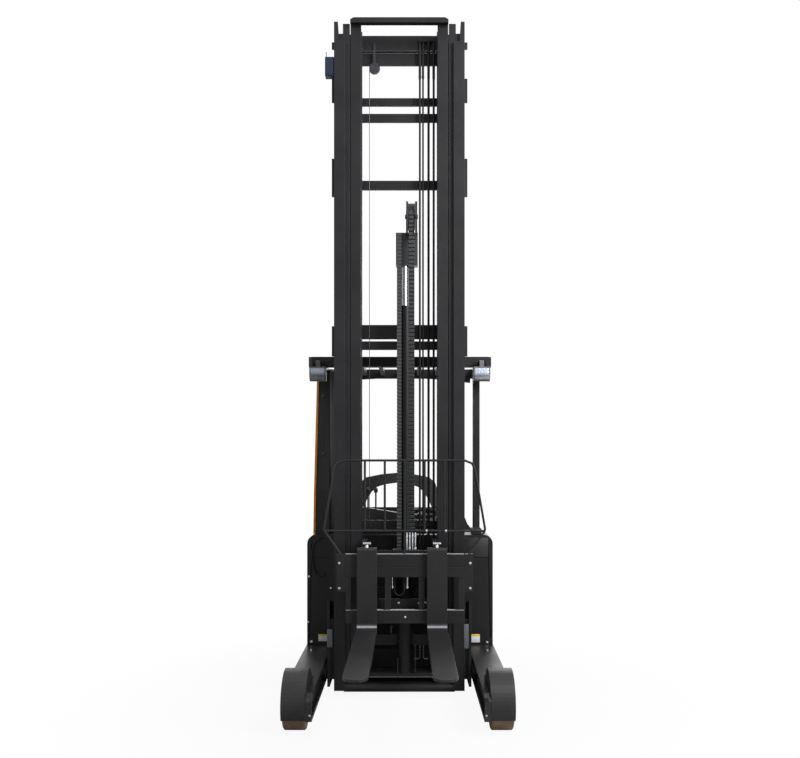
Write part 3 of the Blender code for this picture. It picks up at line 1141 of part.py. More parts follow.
# Lift carriage: plates with rollers in the inner mast, cross bars, a shelf for the chains and tilt ears
CARRIAGE_LOW_Z = 0.575
CARRIAGE_TOP_Z = 1.000
CARRIAGE_FRONT_Y = -0.040
TILT_PIN_R = 0.009
EAR_X = (0.150, 0.170)
plate_in = CARRIAGE_PLATE_OUT_X - CARRIAGE_PLATE
roller_y = (INNER_FRONT_Y + INNER_REAR_Y) / 2
roller_r = (INNER_REAR_Y - INNER_FRONT_Y) / 2 - INNER_FLANGE - RUN
carriage_parts = both(box((plate_in, CARRIAGE_PLATE_OUT_X), (CARRIAGE_FRONT_Y, hose_front - CLEAR),
                          (CARRIAGE_LOW_Z, CARRIAGE_TOP_Z)))
for z in (0.645, 0.925):
    carriage_parts += both(rod("X", (roller_y, z), roller_r, CARRIAGE_PLATE_OUT_X - 0.002,
                               INNER_OUT_X - INNER_WEB - 0.007, 28))
for low, top in ((CARRIAGE_LOW_Z, 0.640), (0.860, SHELF_TOP_Z)):
    carriage_parts.append(box((-plate_in - 0.005, plate_in + 0.005), (CARRIAGE_FRONT_Y, CARRIAGE_FRONT_Y + 0.030),
                              (low, top)))
carriage_parts.append(box((-0.040, CHAIN_X[1] + 0.010), (CARRIAGE_FRONT_Y + 0.020, FREE_Y - FREE_BARREL_R - 0.0055),
                          (SHELF_TOP_Z - 0.030, SHELF_TOP_Z)))
ear_back = CARRIAGE_FRONT_Y + 0.005
for side in (1, -1):
    x0 = side * EAR_X[0]
    x1 = side * EAR_X[1]
    carriage_parts.append(box((min(x0, x1), max(x0, x1)), (TILT_PIVOT_Y - 0.0155, ear_back),
                              (TILT_PIVOT_Z - 0.022, TILT_PIVOT_Z + 0.022)))
pin_hole = rod("X", (TILT_PIVOT_Y, TILT_PIVOT_Z), TILT_PIN_R + RUN, -0.30, 0.30)
piece("lift_carriage", "black_coat", "lift_carriage", carriage_parts, [pin_hole])

# Tilt frame: hangs from the carriage's ears and carries the side-shifting fork carriage
TILT_Y = (-0.100, -0.080)
LUG_X = (0.176, 0.200)
PAD_FACE_Y = BAR_FACE_Y + BAR_THICK + TOUCH
tilt_parts = [box((-0.262, 0.262), TILT_Y, (0.800, 0.880)), box((-0.262, 0.262), TILT_Y, (0.525, 0.585))]
tilt_parts += both(box((0.170, 0.210), TILT_Y, (0.530, 0.925)))
tilt_parts += both(box(LUG_X, (TILT_Y[1] - 0.005, TILT_PIVOT_Y + 0.014), (TILT_PIVOT_Z - 0.015, TILT_PIVOT_Z + 0.015)))
for low, top in ((0.812, 0.868), (0.535, 0.575)):
    tilt_parts += both(box((0.190, 0.250), (PAD_FACE_Y, TILT_Y[0] + 0.001), (low, top)))
tilt_parts.append(rod("X", (TILT_PIVOT_Y, TILT_PIVOT_Z), TILT_PIN_R, -LUG_X[1] + 0.004, LUG_X[1] - 0.004, 16))
piece("tilt_frame", "black_coat", "tilt_frame", tilt_parts)

# Fork carriage: two bars joined by end plates and inner posts
BAR_REAR_Y = BAR_FACE_Y + BAR_THICK


def shifted(x0, x1):
    return (SHIFT_OFFSET + x0, SHIFT_OFFSET + x1)


fork_parts = [box(shifted(-BAR_HALF, BAR_HALF), (BAR_FACE_Y, BAR_REAR_Y), UPPER_BAR_Z),
              box(shifted(-BAR_HALF, BAR_HALF), (BAR_FACE_Y, BAR_REAR_Y), LOWER_BAR_Z)]
for x0, x1 in ((-BAR_HALF, -BAR_HALF + 0.034), (-0.120, -0.085), (0.085, 0.120), (BAR_HALF - 0.034, BAR_HALF)):
    fork_parts.append(box(shifted(x0, x1), (BAR_FACE_Y + 0.002, BAR_REAR_Y), (LOWER_BAR_Z[0] + 0.010,
                                                                              UPPER_BAR_Z[0] + 0.010)))
line = box(shifted(-BAR_HALF - 0.01, BAR_HALF + 0.01), (BAR_FACE_Y - 0.01, BAR_FACE_Y + 0.003), (0.848, 0.853))
piece("fork_carriage", "black_coat", "fork_carriage", fork_parts, [line])

# Forks. Columns: name, middle of the fork across the truck
FORKS = (("fork_right", -0.1935), ("fork_left", 0.2295))
blade_low = FORK_BLADE_TOP_Z - FORK_THICK
shank_top = UPPER_BAR_Z[1] + FORK_HOOK_RISE
for name, middle in FORKS:
    half = FORK_WIDTH / 2
    outline = ((FORK_TIP_Y, FORK_BLADE_TOP_Z - FORK_TIP_THICK), (FORK_TIP_Y + FORK_TAPER, blade_low),
               (SHANK_BACK_Y - 0.030, blade_low), (SHANK_BACK_Y - 0.009, blade_low + 0.009),
               (SHANK_BACK_Y, blade_low + 0.030), (SHANK_BACK_Y, shank_top), (SHANK_FRONT_Y + 0.012, shank_top),
               (SHANK_FRONT_Y, shank_top - 0.012), (SHANK_FRONT_Y, FORK_BLADE_TOP_Z + 0.020),
               (SHANK_FRONT_Y - 0.006, FORK_BLADE_TOP_Z + 0.006), (SHANK_FRONT_Y - 0.020, FORK_BLADE_TOP_Z),
               (FORK_TIP_Y, FORK_BLADE_TOP_Z))
    shapes = [prism(outline, "X", middle - half, middle + half)]
    shapes.append(box((middle - half + 0.010, middle + half - 0.010), (SHANK_BACK_Y - 0.010, BAR_REAR_Y - 0.008),
                      (UPPER_BAR_Z[1] + TOUCH, shank_top - 0.008)))
    shapes.append(box((middle - half + 0.010, middle + half - 0.010), (SHANK_BACK_Y - 0.010, BAR_REAR_Y - 0.008),
                      (LOWER_BAR_Z[0] - 0.030, LOWER_BAR_Z[0] - TOUCH)))
    shapes.append(rod("Z", (middle, SHANK_BACK_Y - 0.018), 0.007, shank_top - 0.005, shank_top + 0.028, 12))
    shapes.append(rod("X", (SHANK_BACK_Y - 0.018, shank_top + 0.026), 0.006, middle - 0.022, middle + 0.022, 12))
    cuts = []
    for side in (1, -1):
        cuts.append(prism(((middle + side * (half + 0.01), FORK_TIP_Y - 0.01),
                           (middle + side * (half + 0.01), FORK_TIP_Y + 0.070),
                           (middle + side * half, FORK_TIP_Y + 0.060),
                           (middle + side * (half - 0.012), FORK_TIP_Y + 0.025),
                           (middle + side * (half - 0.036), FORK_TIP_Y),
                           (middle + side * (half - 0.046), FORK_TIP_Y - 0.01)), "Z",
                          blade_low - 0.05, FORK_BLADE_TOP_Z + 0.05))
    piece(name, "fork_steel", "fork_carriage", shapes, cuts)

# Load backrest: a frame of thin round bars on the fork carriage's ends
REST_R = 0.007
REST_Y = -0.125
REST_TOP_Z = 1.497
REST_WAIST_Z = 1.069
REST_TOP_HALF = 0.415
REST_WAIST_HALF = 0.4875
REST_PITCH = 0.121
REST_PLATE_LOW_Z = 0.700
REST_PLATE_WIDE = 0.055


def rest_point(x, z):
    return (SHIFT_OFFSET + x, REST_Y, z)


rest_parts = []
loop = [rest_point(-REST_WAIST_HALF, REST_WAIST_Z), rest_point(-REST_WAIST_HALF, REST_WAIST_Z + 0.016),
        rest_point(-REST_TOP_HALF - 0.010, REST_TOP_Z - 0.050), rest_point(-REST_TOP_HALF + 0.006, REST_TOP_Z - 0.018),
        rest_point(-REST_TOP_HALF + 0.050, REST_TOP_Z)]
loop += [(2 * SHIFT_OFFSET - place[0], place[1], place[2]) for place in reversed(loop)]
rest_parts.append(tube(loop, REST_R, 10))
rest_parts.append(rod("X", (REST_Y, REST_WAIST_Z), REST_R, SHIFT_OFFSET - REST_WAIST_HALF, SHIFT_OFFSET + REST_WAIST_HALF, 10))
for index in range(-2, 3):
    x = SHIFT_OFFSET + index * REST_PITCH
    foot = UPPER_BAR_Z[1] + TOUCH if index == 0 else REST_WAIST_Z
    rest_parts.append(rod("Z", (x, REST_Y), REST_R, foot, REST_TOP_Z, 10))
for side in (1, -1):
    rest_parts.append(tube((rest_point(side * REST_WAIST_HALF, REST_WAIST_Z),
                            rest_point(side * 0.380, 0.915)), REST_R, 10))
    x0 = SHIFT_OFFSET + side * (BAR_HALF + TOUCH)
    x1 = SHIFT_OFFSET + side * (BAR_HALF + REST_PLATE_WIDE)
    rest_parts.append(box((min(x0, x1), max(x0, x1)), (REST_Y - 0.013, REST_Y + 0.013),
                          (REST_PLATE_LOW_Z, UPPER_BAR_Z[1])))
piece("load_backrest", "black_coat", "fork_carriage", rest_parts)
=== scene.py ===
# %% [markdown]
# # A reach truck, dressed for a studio picture
# A reach truck is a warehouse lift truck with a driver who sits sideways. Its tall three-stage mast
# slides forward between two load legs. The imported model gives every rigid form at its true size.
# This notebook adds finishes, padding and small fittings, one kind at a time.

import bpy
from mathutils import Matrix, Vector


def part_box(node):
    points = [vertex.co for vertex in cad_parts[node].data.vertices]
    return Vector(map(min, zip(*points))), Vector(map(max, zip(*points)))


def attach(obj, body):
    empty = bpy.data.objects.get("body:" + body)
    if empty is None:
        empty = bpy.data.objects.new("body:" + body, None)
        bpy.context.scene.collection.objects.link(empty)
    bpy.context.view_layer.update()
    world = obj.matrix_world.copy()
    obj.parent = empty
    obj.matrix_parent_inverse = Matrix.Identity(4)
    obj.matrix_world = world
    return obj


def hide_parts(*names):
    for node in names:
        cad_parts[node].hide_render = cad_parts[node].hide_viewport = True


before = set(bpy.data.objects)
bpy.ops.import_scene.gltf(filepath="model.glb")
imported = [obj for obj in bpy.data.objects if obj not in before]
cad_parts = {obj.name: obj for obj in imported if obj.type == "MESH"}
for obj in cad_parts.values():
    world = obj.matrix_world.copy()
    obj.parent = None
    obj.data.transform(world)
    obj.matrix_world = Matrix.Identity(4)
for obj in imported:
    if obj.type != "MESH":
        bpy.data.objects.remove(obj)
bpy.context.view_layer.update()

# %% Modules
import math

import bmesh
import bpy
from mathutils import Matrix, Vector

# %% [markdown]
# ## Small helpers
# Colours are easiest to choose as hex values, as a paint card gives them. Shaders work in linear
# light, so one function converts them. A second one adds a node with its settings and its links.


# %% Colours and nodes
def linear(code):
    """Turns an sRGB hex value into linear light."""
    levels = []
    for at in (0, 2, 4):
        level = int(code[at:at + 2], 16) / 255.0
        levels.append(level / 12.92 if level <= 0.04045 else ((level + 0.055) / 1.055) ** 2.4)
    return (levels[0], levels[1], levels[2], 1.0)


def add(tree, kind, links=(), **settings):
    """Adds a node. A setting names a property, or an input with spaces written as underscores."""
    node = tree.nodes.new(kind)
    for name, value in settings.items():
        if hasattr(node, name):
            setattr(node, name, value)
        else:
            node.inputs[name.replace("_", " ")].default_value = value
    for socket, source in links:
        tree.links.new(source, node.inputs[socket])
    return node


# %% [markdown]
# ## A base for every finish
# All the finishes need a shader and a pattern that follows the piece. Object coordinates are in
# metres here, so a pattern's scale can be worked out from a real size: 1 divided by its pitch.
# Pressed and sawn steel never has a perfectly sharp edge, so a bevel of the shading normal gives
# each edge a thin line of light. Its difference from the face marks the edges, which the finishes
# paint lighter: a painted edge highlight, with some rubbed paint.


# %% Start a material
def new_finish(name, base, roughness, metallic=0.0, **extra):
    """Returns the material, its tree, its shader and a place for patterns to read."""
    finish = bpy.data.materials.new(name)
    finish.use_nodes = True
    finish.diffuse_color = linear(base)
    tree = finish.node_tree
    shader = tree.nodes["Principled BSDF"]
    shader.inputs["Base Color"].default_value = linear(base)
    shader.inputs["Roughness"].default_value = roughness
    shader.inputs["Metallic"].default_value = metallic
    for key, value in extra.items():
        shader.inputs[key.replace("_", " ")].default_value = value
    place = add(tree, "ShaderNodeTexCoord").outputs["Object"]
    return finish, tree, shader, place


def rounded_edges(tree, radius):
    """Returns a normal that rounds edges off, and a mask that is 1 on an edge and 0 on a face."""
    soft = add(tree, "ShaderNodeBevel", samples=4, Radius=radius)
    plain = add(tree, "ShaderNodeNewGeometry")
    match = add(tree, "ShaderNodeVectorMath", [(0, soft.outputs["Normal"]), (1, plain.outputs["Normal"])],
                operation="DOT_PRODUCT")
    mask = add(tree, "ShaderNodeMapRange", [("Value", match.outputs["Value"])],
               From_Min=0.99, From_Max=0.80, To_Min=0.0, To_Max=1.0)
    return soft.outputs["Normal"], mask.outputs["Result"]


def blended(tree, factor, low, high):
    """Mixes two colours, each a hex value or a socket, and returns the result."""
    node = add(tree, "ShaderNodeMix", [("Factor", factor)], data_type="RGBA")
    for socket, colour in (("A", low), ("B", high)):
        if isinstance(colour, str):
            node.inputs[socket].default_value = linear(colour)
        else:
            tree.links.new(colour, node.inputs[socket])
    return node.outputs["Result"]


# %% [markdown]
# ## Powder-coated steel
# Most of the truck is welded steel with a baked powder coat. Powder coat melts into a skin with a
# fine orange-peel ripple of about 2 mm, and it looks satin. Dust and handling leave broad, faint
# cloudy patches. Every edge is painted lighter: a painted edge highlight, with some rubbed paint.


# %% Powder coat
def strip(tree, place, axis, start, end, soft):
    """A mask that is 1 between two values of one coordinate, and fades over soft metres outside."""
    value = add(tree, "ShaderNodeSeparateXYZ", [("Vector", place)]).outputs[axis]
    rise = add(tree, "ShaderNodeMapRange", [("Value", value)], From_Min=start - soft, From_Max=start)
    fall = add(tree, "ShaderNodeMapRange", [("Value", value)], From_Min=end + soft, From_Max=end)
    return add(tree, "ShaderNodeMath", [(0, rise.outputs["Result"]), (1, fall.outputs["Result"])],
               operation="MULTIPLY").outputs[0]


def powder_coat(name, base, worn, edge, roughness=0.42, level=0.3, highlight_heights=()):
    """The last argument lists heights of level faces that get a thin bright band, a painted highlight."""
    finish, tree, shader, place = new_finish(name, base, roughness, IOR=1.5, Specular_IOR_Level=level)
    cloud = add(tree, "ShaderNodeTexNoise", [("Vector", place)], Scale=3.2, Detail=5.0, Roughness=0.62)
    tone = add(tree, "ShaderNodeMapRange", [("Value", cloud.outputs["Fac"])],
               From_Min=0.42, From_Max=0.78, To_Min=0.0, To_Max=0.6)
    normal, rim = rounded_edges(tree, 0.0025)
    coloured = blended(tree, tone.outputs["Result"], base, worn)
    # Painted edge highlight: the edge colour along every edge stands in for light on a rounded edge, with
    # some rubbed paint.
    coloured = blended(tree, rim, coloured, edge)
    # Painted highlight: a thin bright band at each listed top face, standing in for light caught along its
    # edge.
    for height in highlight_heights:
        coloured = blended(tree, strip(tree, place, "Z", height - 0.0008, height + 0.001, 0.0006),
                           coloured, "A4A7AB")
    tree.links.new(coloured, shader.inputs["Base Color"])
    gloss = add(tree, "ShaderNodeMapRange", [("Value", cloud.outputs["Fac"])],
                From_Min=0.3, From_Max=0.75, To_Min=roughness - 0.06, To_Max=roughness + 0.12)
    tree.links.new(gloss.outputs["Result"], shader.inputs["Roughness"])
    peel = add(tree, "ShaderNodeTexNoise", [("Vector", place)], Scale=450.0, Detail=2.0)
    bump = add(tree, "ShaderNodeBump", [("Height", peel.outputs["Fac"]), ("Normal", normal)],
               Strength=0.12, Distance=0.0004)
    tree.links.new(bump.outputs["Normal"], shader.inputs["Normal"])
    return finish


# The fourth colour of each coat is its painted edge highlight: lighter paint along every edge.
mast_coat = powder_coat("powder_coat_black", "18181A", "222224", "38383A", 0.42, 0.22)
leg_coat = powder_coat("powder_coat_leg", "1E1E1F", "29292A", "48484A", 0.40, 0.3)
body_coat = powder_coat("powder_coat_dark_grey", "161617", "202021", "363638", 0.45, 0.22)
# The tops of the carriage's two bars get a painted highlight band.
BAR_TOPS_Z = (0.590, 0.930)
carriage_coat = powder_coat("powder_coat_carriage", "171718", "212122", "3C3C3E", 0.45, 0.22, BAR_TOPS_Z)
orange_coat = powder_coat("powder_coat_orange", "CC7A1A", "D68C34", "E0A85C", 0.42)
grey_coat = powder_coat("powder_coat_grey", "8E9197", "A2A5AB", "B8BBC0")
lamp_coat = powder_coat("powder_coat_lamp", "5E6064", "6C6E73", "A4A7AC")
plate_coat = powder_coat("powder_coat_wear_plate", "54575B", "64676B", "8A8D91")
panel_coat = powder_coat("powder_coat_panel", "222223", "2C2C2D", "48484A")
sensor_coat = powder_coat("powder_coat_blue_black", "141B2E", "1F2942", "33405F")
print("powder coats:", mast_coat.name, body_coat.name, orange_coat.name, grey_coat.name)

# %% [markdown]
# ## Hot-forged fork steel
# Forks are forged and dipped in black paint. Mill scale under the paint shows as broad mottling
# about 30 mm across, and the sliding of pallets leaves fine scratches along the blade.

# %% Fork steel
fork_finish, tree, shader, place = new_finish("forged_steel_painted", "232426", 0.42, 0.0, IOR=1.5,
                                              Specular_IOR_Level=0.3)
mottle = add(tree, "ShaderNodeTexNoise", [("Vector", place)], Scale=33.0, Detail=6.0, Roughness=0.6)
along = add(tree, "ShaderNodeMapping", [("Vector", place)], Scale=(420.0, 6.0, 420.0))
scratch = add(tree, "ShaderNodeTexNoise", [("Vector", along.outputs["Vector"])], Scale=1.0, Detail=3.0)
mark = add(tree, "ShaderNodeMapRange", [("Value", scratch.outputs["Fac"])],
           From_Min=0.66, From_Max=0.74, To_Min=0.0, To_Max=0.3)
fork_normal, fork_edge_highlight = rounded_edges(tree, 0.003)
scaled = blended(tree, mottle.outputs["Fac"], "131314", "1E1E1F")
scratched = blended(tree, mark.outputs["Result"], scaled, "4A4A4C")
# Painted edge highlight: a lighter colour along every edge of the fork, with some rubbed paint.
edge_highlit = blended(tree, fork_edge_highlight, scratched, "3E3E40")
# Painted highlight: a bright band across the fork at the heel, standing in for the light its bend reflects.
HEEL_HIGHLIGHT_Y = (-0.2030, -0.1860)
heel_highlight = strip(tree, place, "Y", HEEL_HIGHLIGHT_Y[0], HEEL_HIGHLIGHT_Y[1], 0.002)
tree.links.new(blended(tree, heel_highlight, edge_highlit, "8A8C90"), shader.inputs["Base Color"])
dent = add(tree, "ShaderNodeBump", [("Height", mottle.outputs["Fac"]), ("Normal", fork_normal)],
           Strength=0.25, Distance=0.0008)
tree.links.new(dent.outputs["Normal"], shader.inputs["Normal"])
print("fork finish:", fork_finish.name)

# %% [markdown]
# ## Hard-chromed rods and bare steel
# A cylinder's rod is ground and chromed, so it is a dark mirror with very fine lines around it.
# Pulleys are machined and kept oily. Small fittings are zinc plated, with a faint spangle.


# %% Chrome, oiled steel and zinc
def ground_chrome(name, head_z):
    """Hard chrome below a height, and black paint on the head above it."""
    finish, tree, shader, place = new_finish(name, "A4A7AB", 0.18, 1.0)
    around = add(tree, "ShaderNodeMapping", [("Vector", place)], Scale=(4.0, 4.0, 900.0))
    grind = add(tree, "ShaderNodeTexNoise", [("Vector", around.outputs["Vector"])], Scale=1.0, Detail=2.0)
    sheen = add(tree, "ShaderNodeMapRange", [("Value", grind.outputs["Fac"])], To_Min=0.12, To_Max=0.28)
    bright = strip(tree, place, "Z", -1.0, head_z, 0.0005)
    tree.links.new(blended(tree, bright, "1B1B1C", "A4A7AB"), shader.inputs["Base Color"])
    tree.links.new(bright, shader.inputs["Metallic"])
    gloss = add(tree, "ShaderNodeMapRange", [("Value", bright), ("To Max", sheen.outputs["Result"])],
                To_Min=0.45)
    tree.links.new(gloss.outputs["Result"], shader.inputs["Roughness"])
    return finish


NO_HEAD_Z = 10.0
HEAD_LOW_Z = 2.730
chrome = ground_chrome("hard_chrome", NO_HEAD_Z)
head_chrome = ground_chrome("hard_chrome_with_head", HEAD_LOW_Z)

oiled_steel, tree, shader, place = new_finish("oiled_steel", "5A5C5F", 0.42, 1.0)
oil = add(tree, "ShaderNodeTexNoise", [("Vector", place)], Scale=60.0, Detail=4.0)
tree.links.new(blended(tree, oil.outputs["Fac"], "2A2B2D", "505256"), shader.inputs["Base Color"])
slick = add(tree, "ShaderNodeMapRange", [("Value", oil.outputs["Fac"])], To_Min=0.30, To_Max=0.55)
tree.links.new(slick.outputs["Result"], shader.inputs["Roughness"])

zinc, tree, shader, place = new_finish("zinc_plated_steel", "B4B7BB", 0.34, 1.0)
spangle = add(tree, "ShaderNodeTexNoise", [("Vector", place)], Scale=220.0, Detail=3.0)
dull = add(tree, "ShaderNodeMapRange", [("Value", spangle.outputs["Fac"])], To_Min=0.26, To_Max=0.46)
tree.links.new(dull.outputs["Result"], shader.inputs["Roughness"])
print("metals:", chrome.name, oiled_steel.name, zinc.name)

# %% [markdown]
# ## Chain links
# The leaf chain is a stack of stamped plates on pins, and the hose carrier is a row of moulded
# links. Both repeat at the pitch of their notches, so a cosine of the height at that pitch puts a
# band on each link. The leaf chain has a second cosine across it, one cycle for each plate.


# %% Banded finishes
def wave(tree, value, start, pitch):
    """A cosine of one of the coordinates that peaks at start and repeats each pitch."""
    shift = add(tree, "ShaderNodeMath", [(0, value)], operation="SUBTRACT")
    shift.inputs[1].default_value = start
    turn = add(tree, "ShaderNodeMath", [(0, shift.outputs[0])], operation="MULTIPLY")
    turn.inputs[1].default_value = 2.0 * math.pi / pitch
    return add(tree, "ShaderNodeMath", [(0, turn.outputs[0])], operation="COSINE").outputs[0]


LINK_PITCH = 0.022383
LINK_TOP_Z = 2.91
carrier_plastic, tree, shader, place = new_finish("hose_carrier_plastic", "17181A", 0.5, IOR=1.5)
axes = add(tree, "ShaderNodeSeparateXYZ", [("Vector", place)])
band = add(tree, "ShaderNodeMapRange", [("Value", wave(tree, axes.outputs["Z"], LINK_TOP_Z, LINK_PITCH))],
           From_Min=-0.2, From_Max=0.7, To_Min=0.0, To_Max=1.0)
tree.links.new(blended(tree, band.outputs["Result"], "0A0A0B", "2A2A2C"), shader.inputs["Base Color"])
hinge = add(tree, "ShaderNodeBump", [("Height", band.outputs["Result"])], Strength=0.8, Distance=0.002)
tree.links.new(hinge.outputs["Normal"], shader.inputs["Normal"])

LEAF_PITCH = 0.025265
LEAF_TOP_Z = 3.037
LEAF_PLATE = 0.0062
LEAF_FIRST_X = 0.0606
leaf_steel, tree, shader, place = new_finish("leaf_chain_steel", "6E7073", 0.38, 1.0)
axes = add(tree, "ShaderNodeSeparateXYZ", [("Vector", place)])
up_chain = wave(tree, axes.outputs["Z"], LEAF_TOP_Z, LEAF_PITCH)
link_band = add(tree, "ShaderNodeMapRange", [("Value", up_chain)],
                From_Min=-0.8, From_Max=0.2, To_Min=0.7, To_Max=1.0)
across_chain = wave(tree, axes.outputs["X"], LEAF_FIRST_X, LEAF_PLATE)
plate_band = add(tree, "ShaderNodeMapRange", [("Value", across_chain)],
                 From_Min=-0.9, From_Max=0.1, To_Min=0.2, To_Max=1.0)
plates = add(tree, "ShaderNodeMath", [(0, link_band.outputs["Result"]), (1, plate_band.outputs["Result"])],
             operation="MULTIPLY")
tree.links.new(blended(tree, plates.outputs[0], "101011", "3E3F41"), shader.inputs["Base Color"])
leaves = add(tree, "ShaderNodeBump", [("Height", plates.outputs[0])], Strength=0.7, Distance=0.0015)
tree.links.new(leaves.outputs["Normal"], shader.inputs["Normal"])
print("chains:", carrier_plastic.name, leaf_steel.name)

# %% [markdown]
# ## Cast polyurethane treads
# The wheels are cast iron with a tread of polyurethane, a hard brown plastic with a soft gloss.
# Rolling presses in grit about 3 mm across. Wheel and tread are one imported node, so the distance
# from the axle says which of the two a point is on.


# %% Polyurethane
def wheel_finish(name, axle_y, axle_z, hub_radius):
    """A brown tread outside the hub's radius, and painted cast iron inside it."""
    finish, tree, shader, place = new_finish(name, "5C4429", 0.46, 0.0, IOR=1.5)
    grit = add(tree, "ShaderNodeTexNoise", [("Vector", place)], Scale=300.0, Detail=4.0, Roughness=0.7)
    stain = add(tree, "ShaderNodeTexNoise", [("Vector", place)], Scale=18.0, Detail=5.0)
    flat = add(tree, "ShaderNodeMapping", [("Vector", place)], Location=(0.0, -axle_y, -axle_z))
    flat.inputs["Scale"].default_value = (0.0, 1.0, 1.0)
    away = add(tree, "ShaderNodeVectorMath", [(0, flat.outputs["Vector"])], operation="LENGTH")
    tread = add(tree, "ShaderNodeMapRange", [("Value", away.outputs["Value"])],
                From_Min=hub_radius, From_Max=hub_radius + 0.0008)
    brown = blended(tree, stain.outputs["Fac"], "513C26", "6C563E")
    iron = blended(tree, stain.outputs["Fac"], "222325", "323437")
    tree.links.new(blended(tree, tread.outputs["Result"], iron, brown), shader.inputs["Base Color"])
    pit = add(tree, "ShaderNodeBump", [("Height", grit.outputs["Fac"])], Strength=0.3, Distance=0.0006)
    tree.links.new(pit.outputs["Normal"], shader.inputs["Normal"])
    return finish


LOAD_AXLE = (-0.5195, 0.1600)
LOAD_HUB_RADIUS = 0.125
DRIVE_AXLE = (1.0500, 0.1800)
DRIVE_HUB_RADIUS = 0.140
load_tread = wheel_finish("load_wheel_polyurethane", *LOAD_AXLE, LOAD_HUB_RADIUS)
drive_tread = wheel_finish("drive_wheel_polyurethane", *DRIVE_AXLE, DRIVE_HUB_RADIUS)
print("treads:", load_tread.name, drive_tread.name)

# %% [markdown]
# ## Moulded black plastic, rubber and seat vinyl
# The console and the covers are moulded ABS with a spark-eroded grain of about 1 mm. Hose rubber is
# matt. The seat is covered in black vinyl, whose leather grain has cells of 2 to 3 mm.


# %% Plastics, rubber and vinyl
def grained(name, base, light, roughness, cell_mm, depth_mm, **extra):
    """A moulded or woven skin whose grain has cells of one size, and a faint cloud of a lighter tone."""
    finish, tree, shader, place = new_finish(name, base, roughness, **extra)
    cells = add(tree, "ShaderNodeTexVoronoi", [("Vector", place)], Scale=1000.0 / cell_mm,
                feature="DISTANCE_TO_EDGE")
    cloud = add(tree, "ShaderNodeTexNoise", [("Vector", place)], Scale=14.0, Detail=4.0)
    tree.links.new(blended(tree, cloud.outputs["Fac"], base, light), shader.inputs["Base Color"])
    grain = add(tree, "ShaderNodeBump", [("Height", cells.outputs["Distance"])],
                Strength=0.35, Distance=depth_mm / 1000.0)
    tree.links.new(grain.outputs["Normal"], shader.inputs["Normal"])
    return finish


abs_plastic = grained("moulded_abs_black", "161719", "212224", 0.55, 1.2, 0.15, IOR=1.5)
hose_rubber = grained("hose_rubber", "0C0C0D", "141415", 0.58, 1.5, 0.10, IOR=1.52, Specular_IOR_Level=0.25)
mat_rubber = grained("ribbed_mat_rubber", "1A1B1C", "252628", 0.7, 1.5, 0.15, IOR=1.52)
seat_vinyl = grained("seat_vinyl", "1D1E20", "2A2B2D", 0.50, 2.6, 0.30, IOR=1.5, Sheen_Weight=0.08)
yellow_print = grained("printed_film_yellow", "D8B21E", "E2C040", 0.45, 0.8, 0.03, IOR=1.5)
white_print = grained("printed_film_white", "C4C5C4", "D6D7D6", 0.45, 0.8, 0.03, IOR=1.5)
lens_plastic = grained("clear_lamp_lens", "A8B4C8", "C8D2E2", 0.16, 6.0, 0.40, IOR=1.58, Coat_Weight=0.6)
print("plastics:", abs_plastic.name, hose_rubber.name, seat_vinyl.name, lens_plastic.name)

# %% [markdown]
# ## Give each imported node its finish
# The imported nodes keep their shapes. Each one only gets a finish in its material slots.

# %% Assign finishes
FINISH_OF_NODES = (
    (mast_coat, ("outer_mast", "middle_mast", "inner_mast", "reach_carriage", "lift_barrel_left",
                 "lift_barrel_right", "reach_barrel", "chassis_frame", "side_panel", "lift_carriage",
                 "load_backrest")),
    (carriage_coat, ("fork_carriage", "tilt_frame")),
    (leg_coat, ("leg_left", "leg_right", "fender_left", "fender_right")),
    (body_coat, ("battery", "battery_cover", "sill_panel", "side_wall", "rear_hood", "guard_post_front",
                 "guard_post_rear", "overhead_guard", "turntable", "free_lift_barrel")),
    (sensor_coat, ("mast_sensor",)),
    (lamp_coat, ("lamp_left", "lamp_right")),
    (orange_coat, ("side_skin",)),
    (load_tread, ("load_wheel_left", "load_wheel_right")),
    (drive_tread, ("drive_wheel",)),
    (chrome, ("reach_rod", "lift_rod_left", "lift_rod_right")),
    (head_chrome, ("free_lift_rod",)),
    (oiled_steel, ("signal_wire", "chain_pulley")),
    (leaf_steel, ("lift_chain",)),
    (abs_plastic, ("cab_floor", "seat_pedestal", "armrest_console", "rear_console", "steering_wheel")),
    (carrier_plastic, ("energy_chain",)),
    (seat_vinyl, ("seat_cushion", "seat_back")),
    (hose_rubber, ("mast_hoses",)),
    (fork_finish, ("fork_left", "fork_right")),
)
dressed = 0
for finish, names in FINISH_OF_NODES:
    for name in names:
        node = bpy.data.objects[name]
        for slot in node.material_slots:
            slot.material = finish
        dressed += 1
print("nodes with a finish:", dressed, "of", len(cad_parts))

# %% [markdown]
# ## Building blocks
# Small steel parts come down to three forms: a plate or block whose edges are broken, a hexagon
# bolt on its washer, and a bent tube. A block is a cube with bevelled edges, a bolt is two short
# cones, and a tube is a curve with a round bevel. Each piece keeps its origin at the world's, so
# that patterns in metres run on from one piece to the next.


# %% Blocks, bolts and tubes
def finish_piece(name, shape, finish, body):
    """Turns the shape into a piece that rides on a body."""
    bmesh.ops.recalc_face_normals(shape, faces=shape.faces)
    mesh = bpy.data.meshes.new(name)
    shape.to_mesh(mesh)
    shape.free()
    mesh.materials.append(finish)
    mesh.shade_smooth()
    mesh.set_sharp_from_angle(angle=math.radians(35.0))
    item = bpy.data.objects.new(name, mesh)
    bpy.context.scene.collection.objects.link(item)
    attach(item, body)
    return item


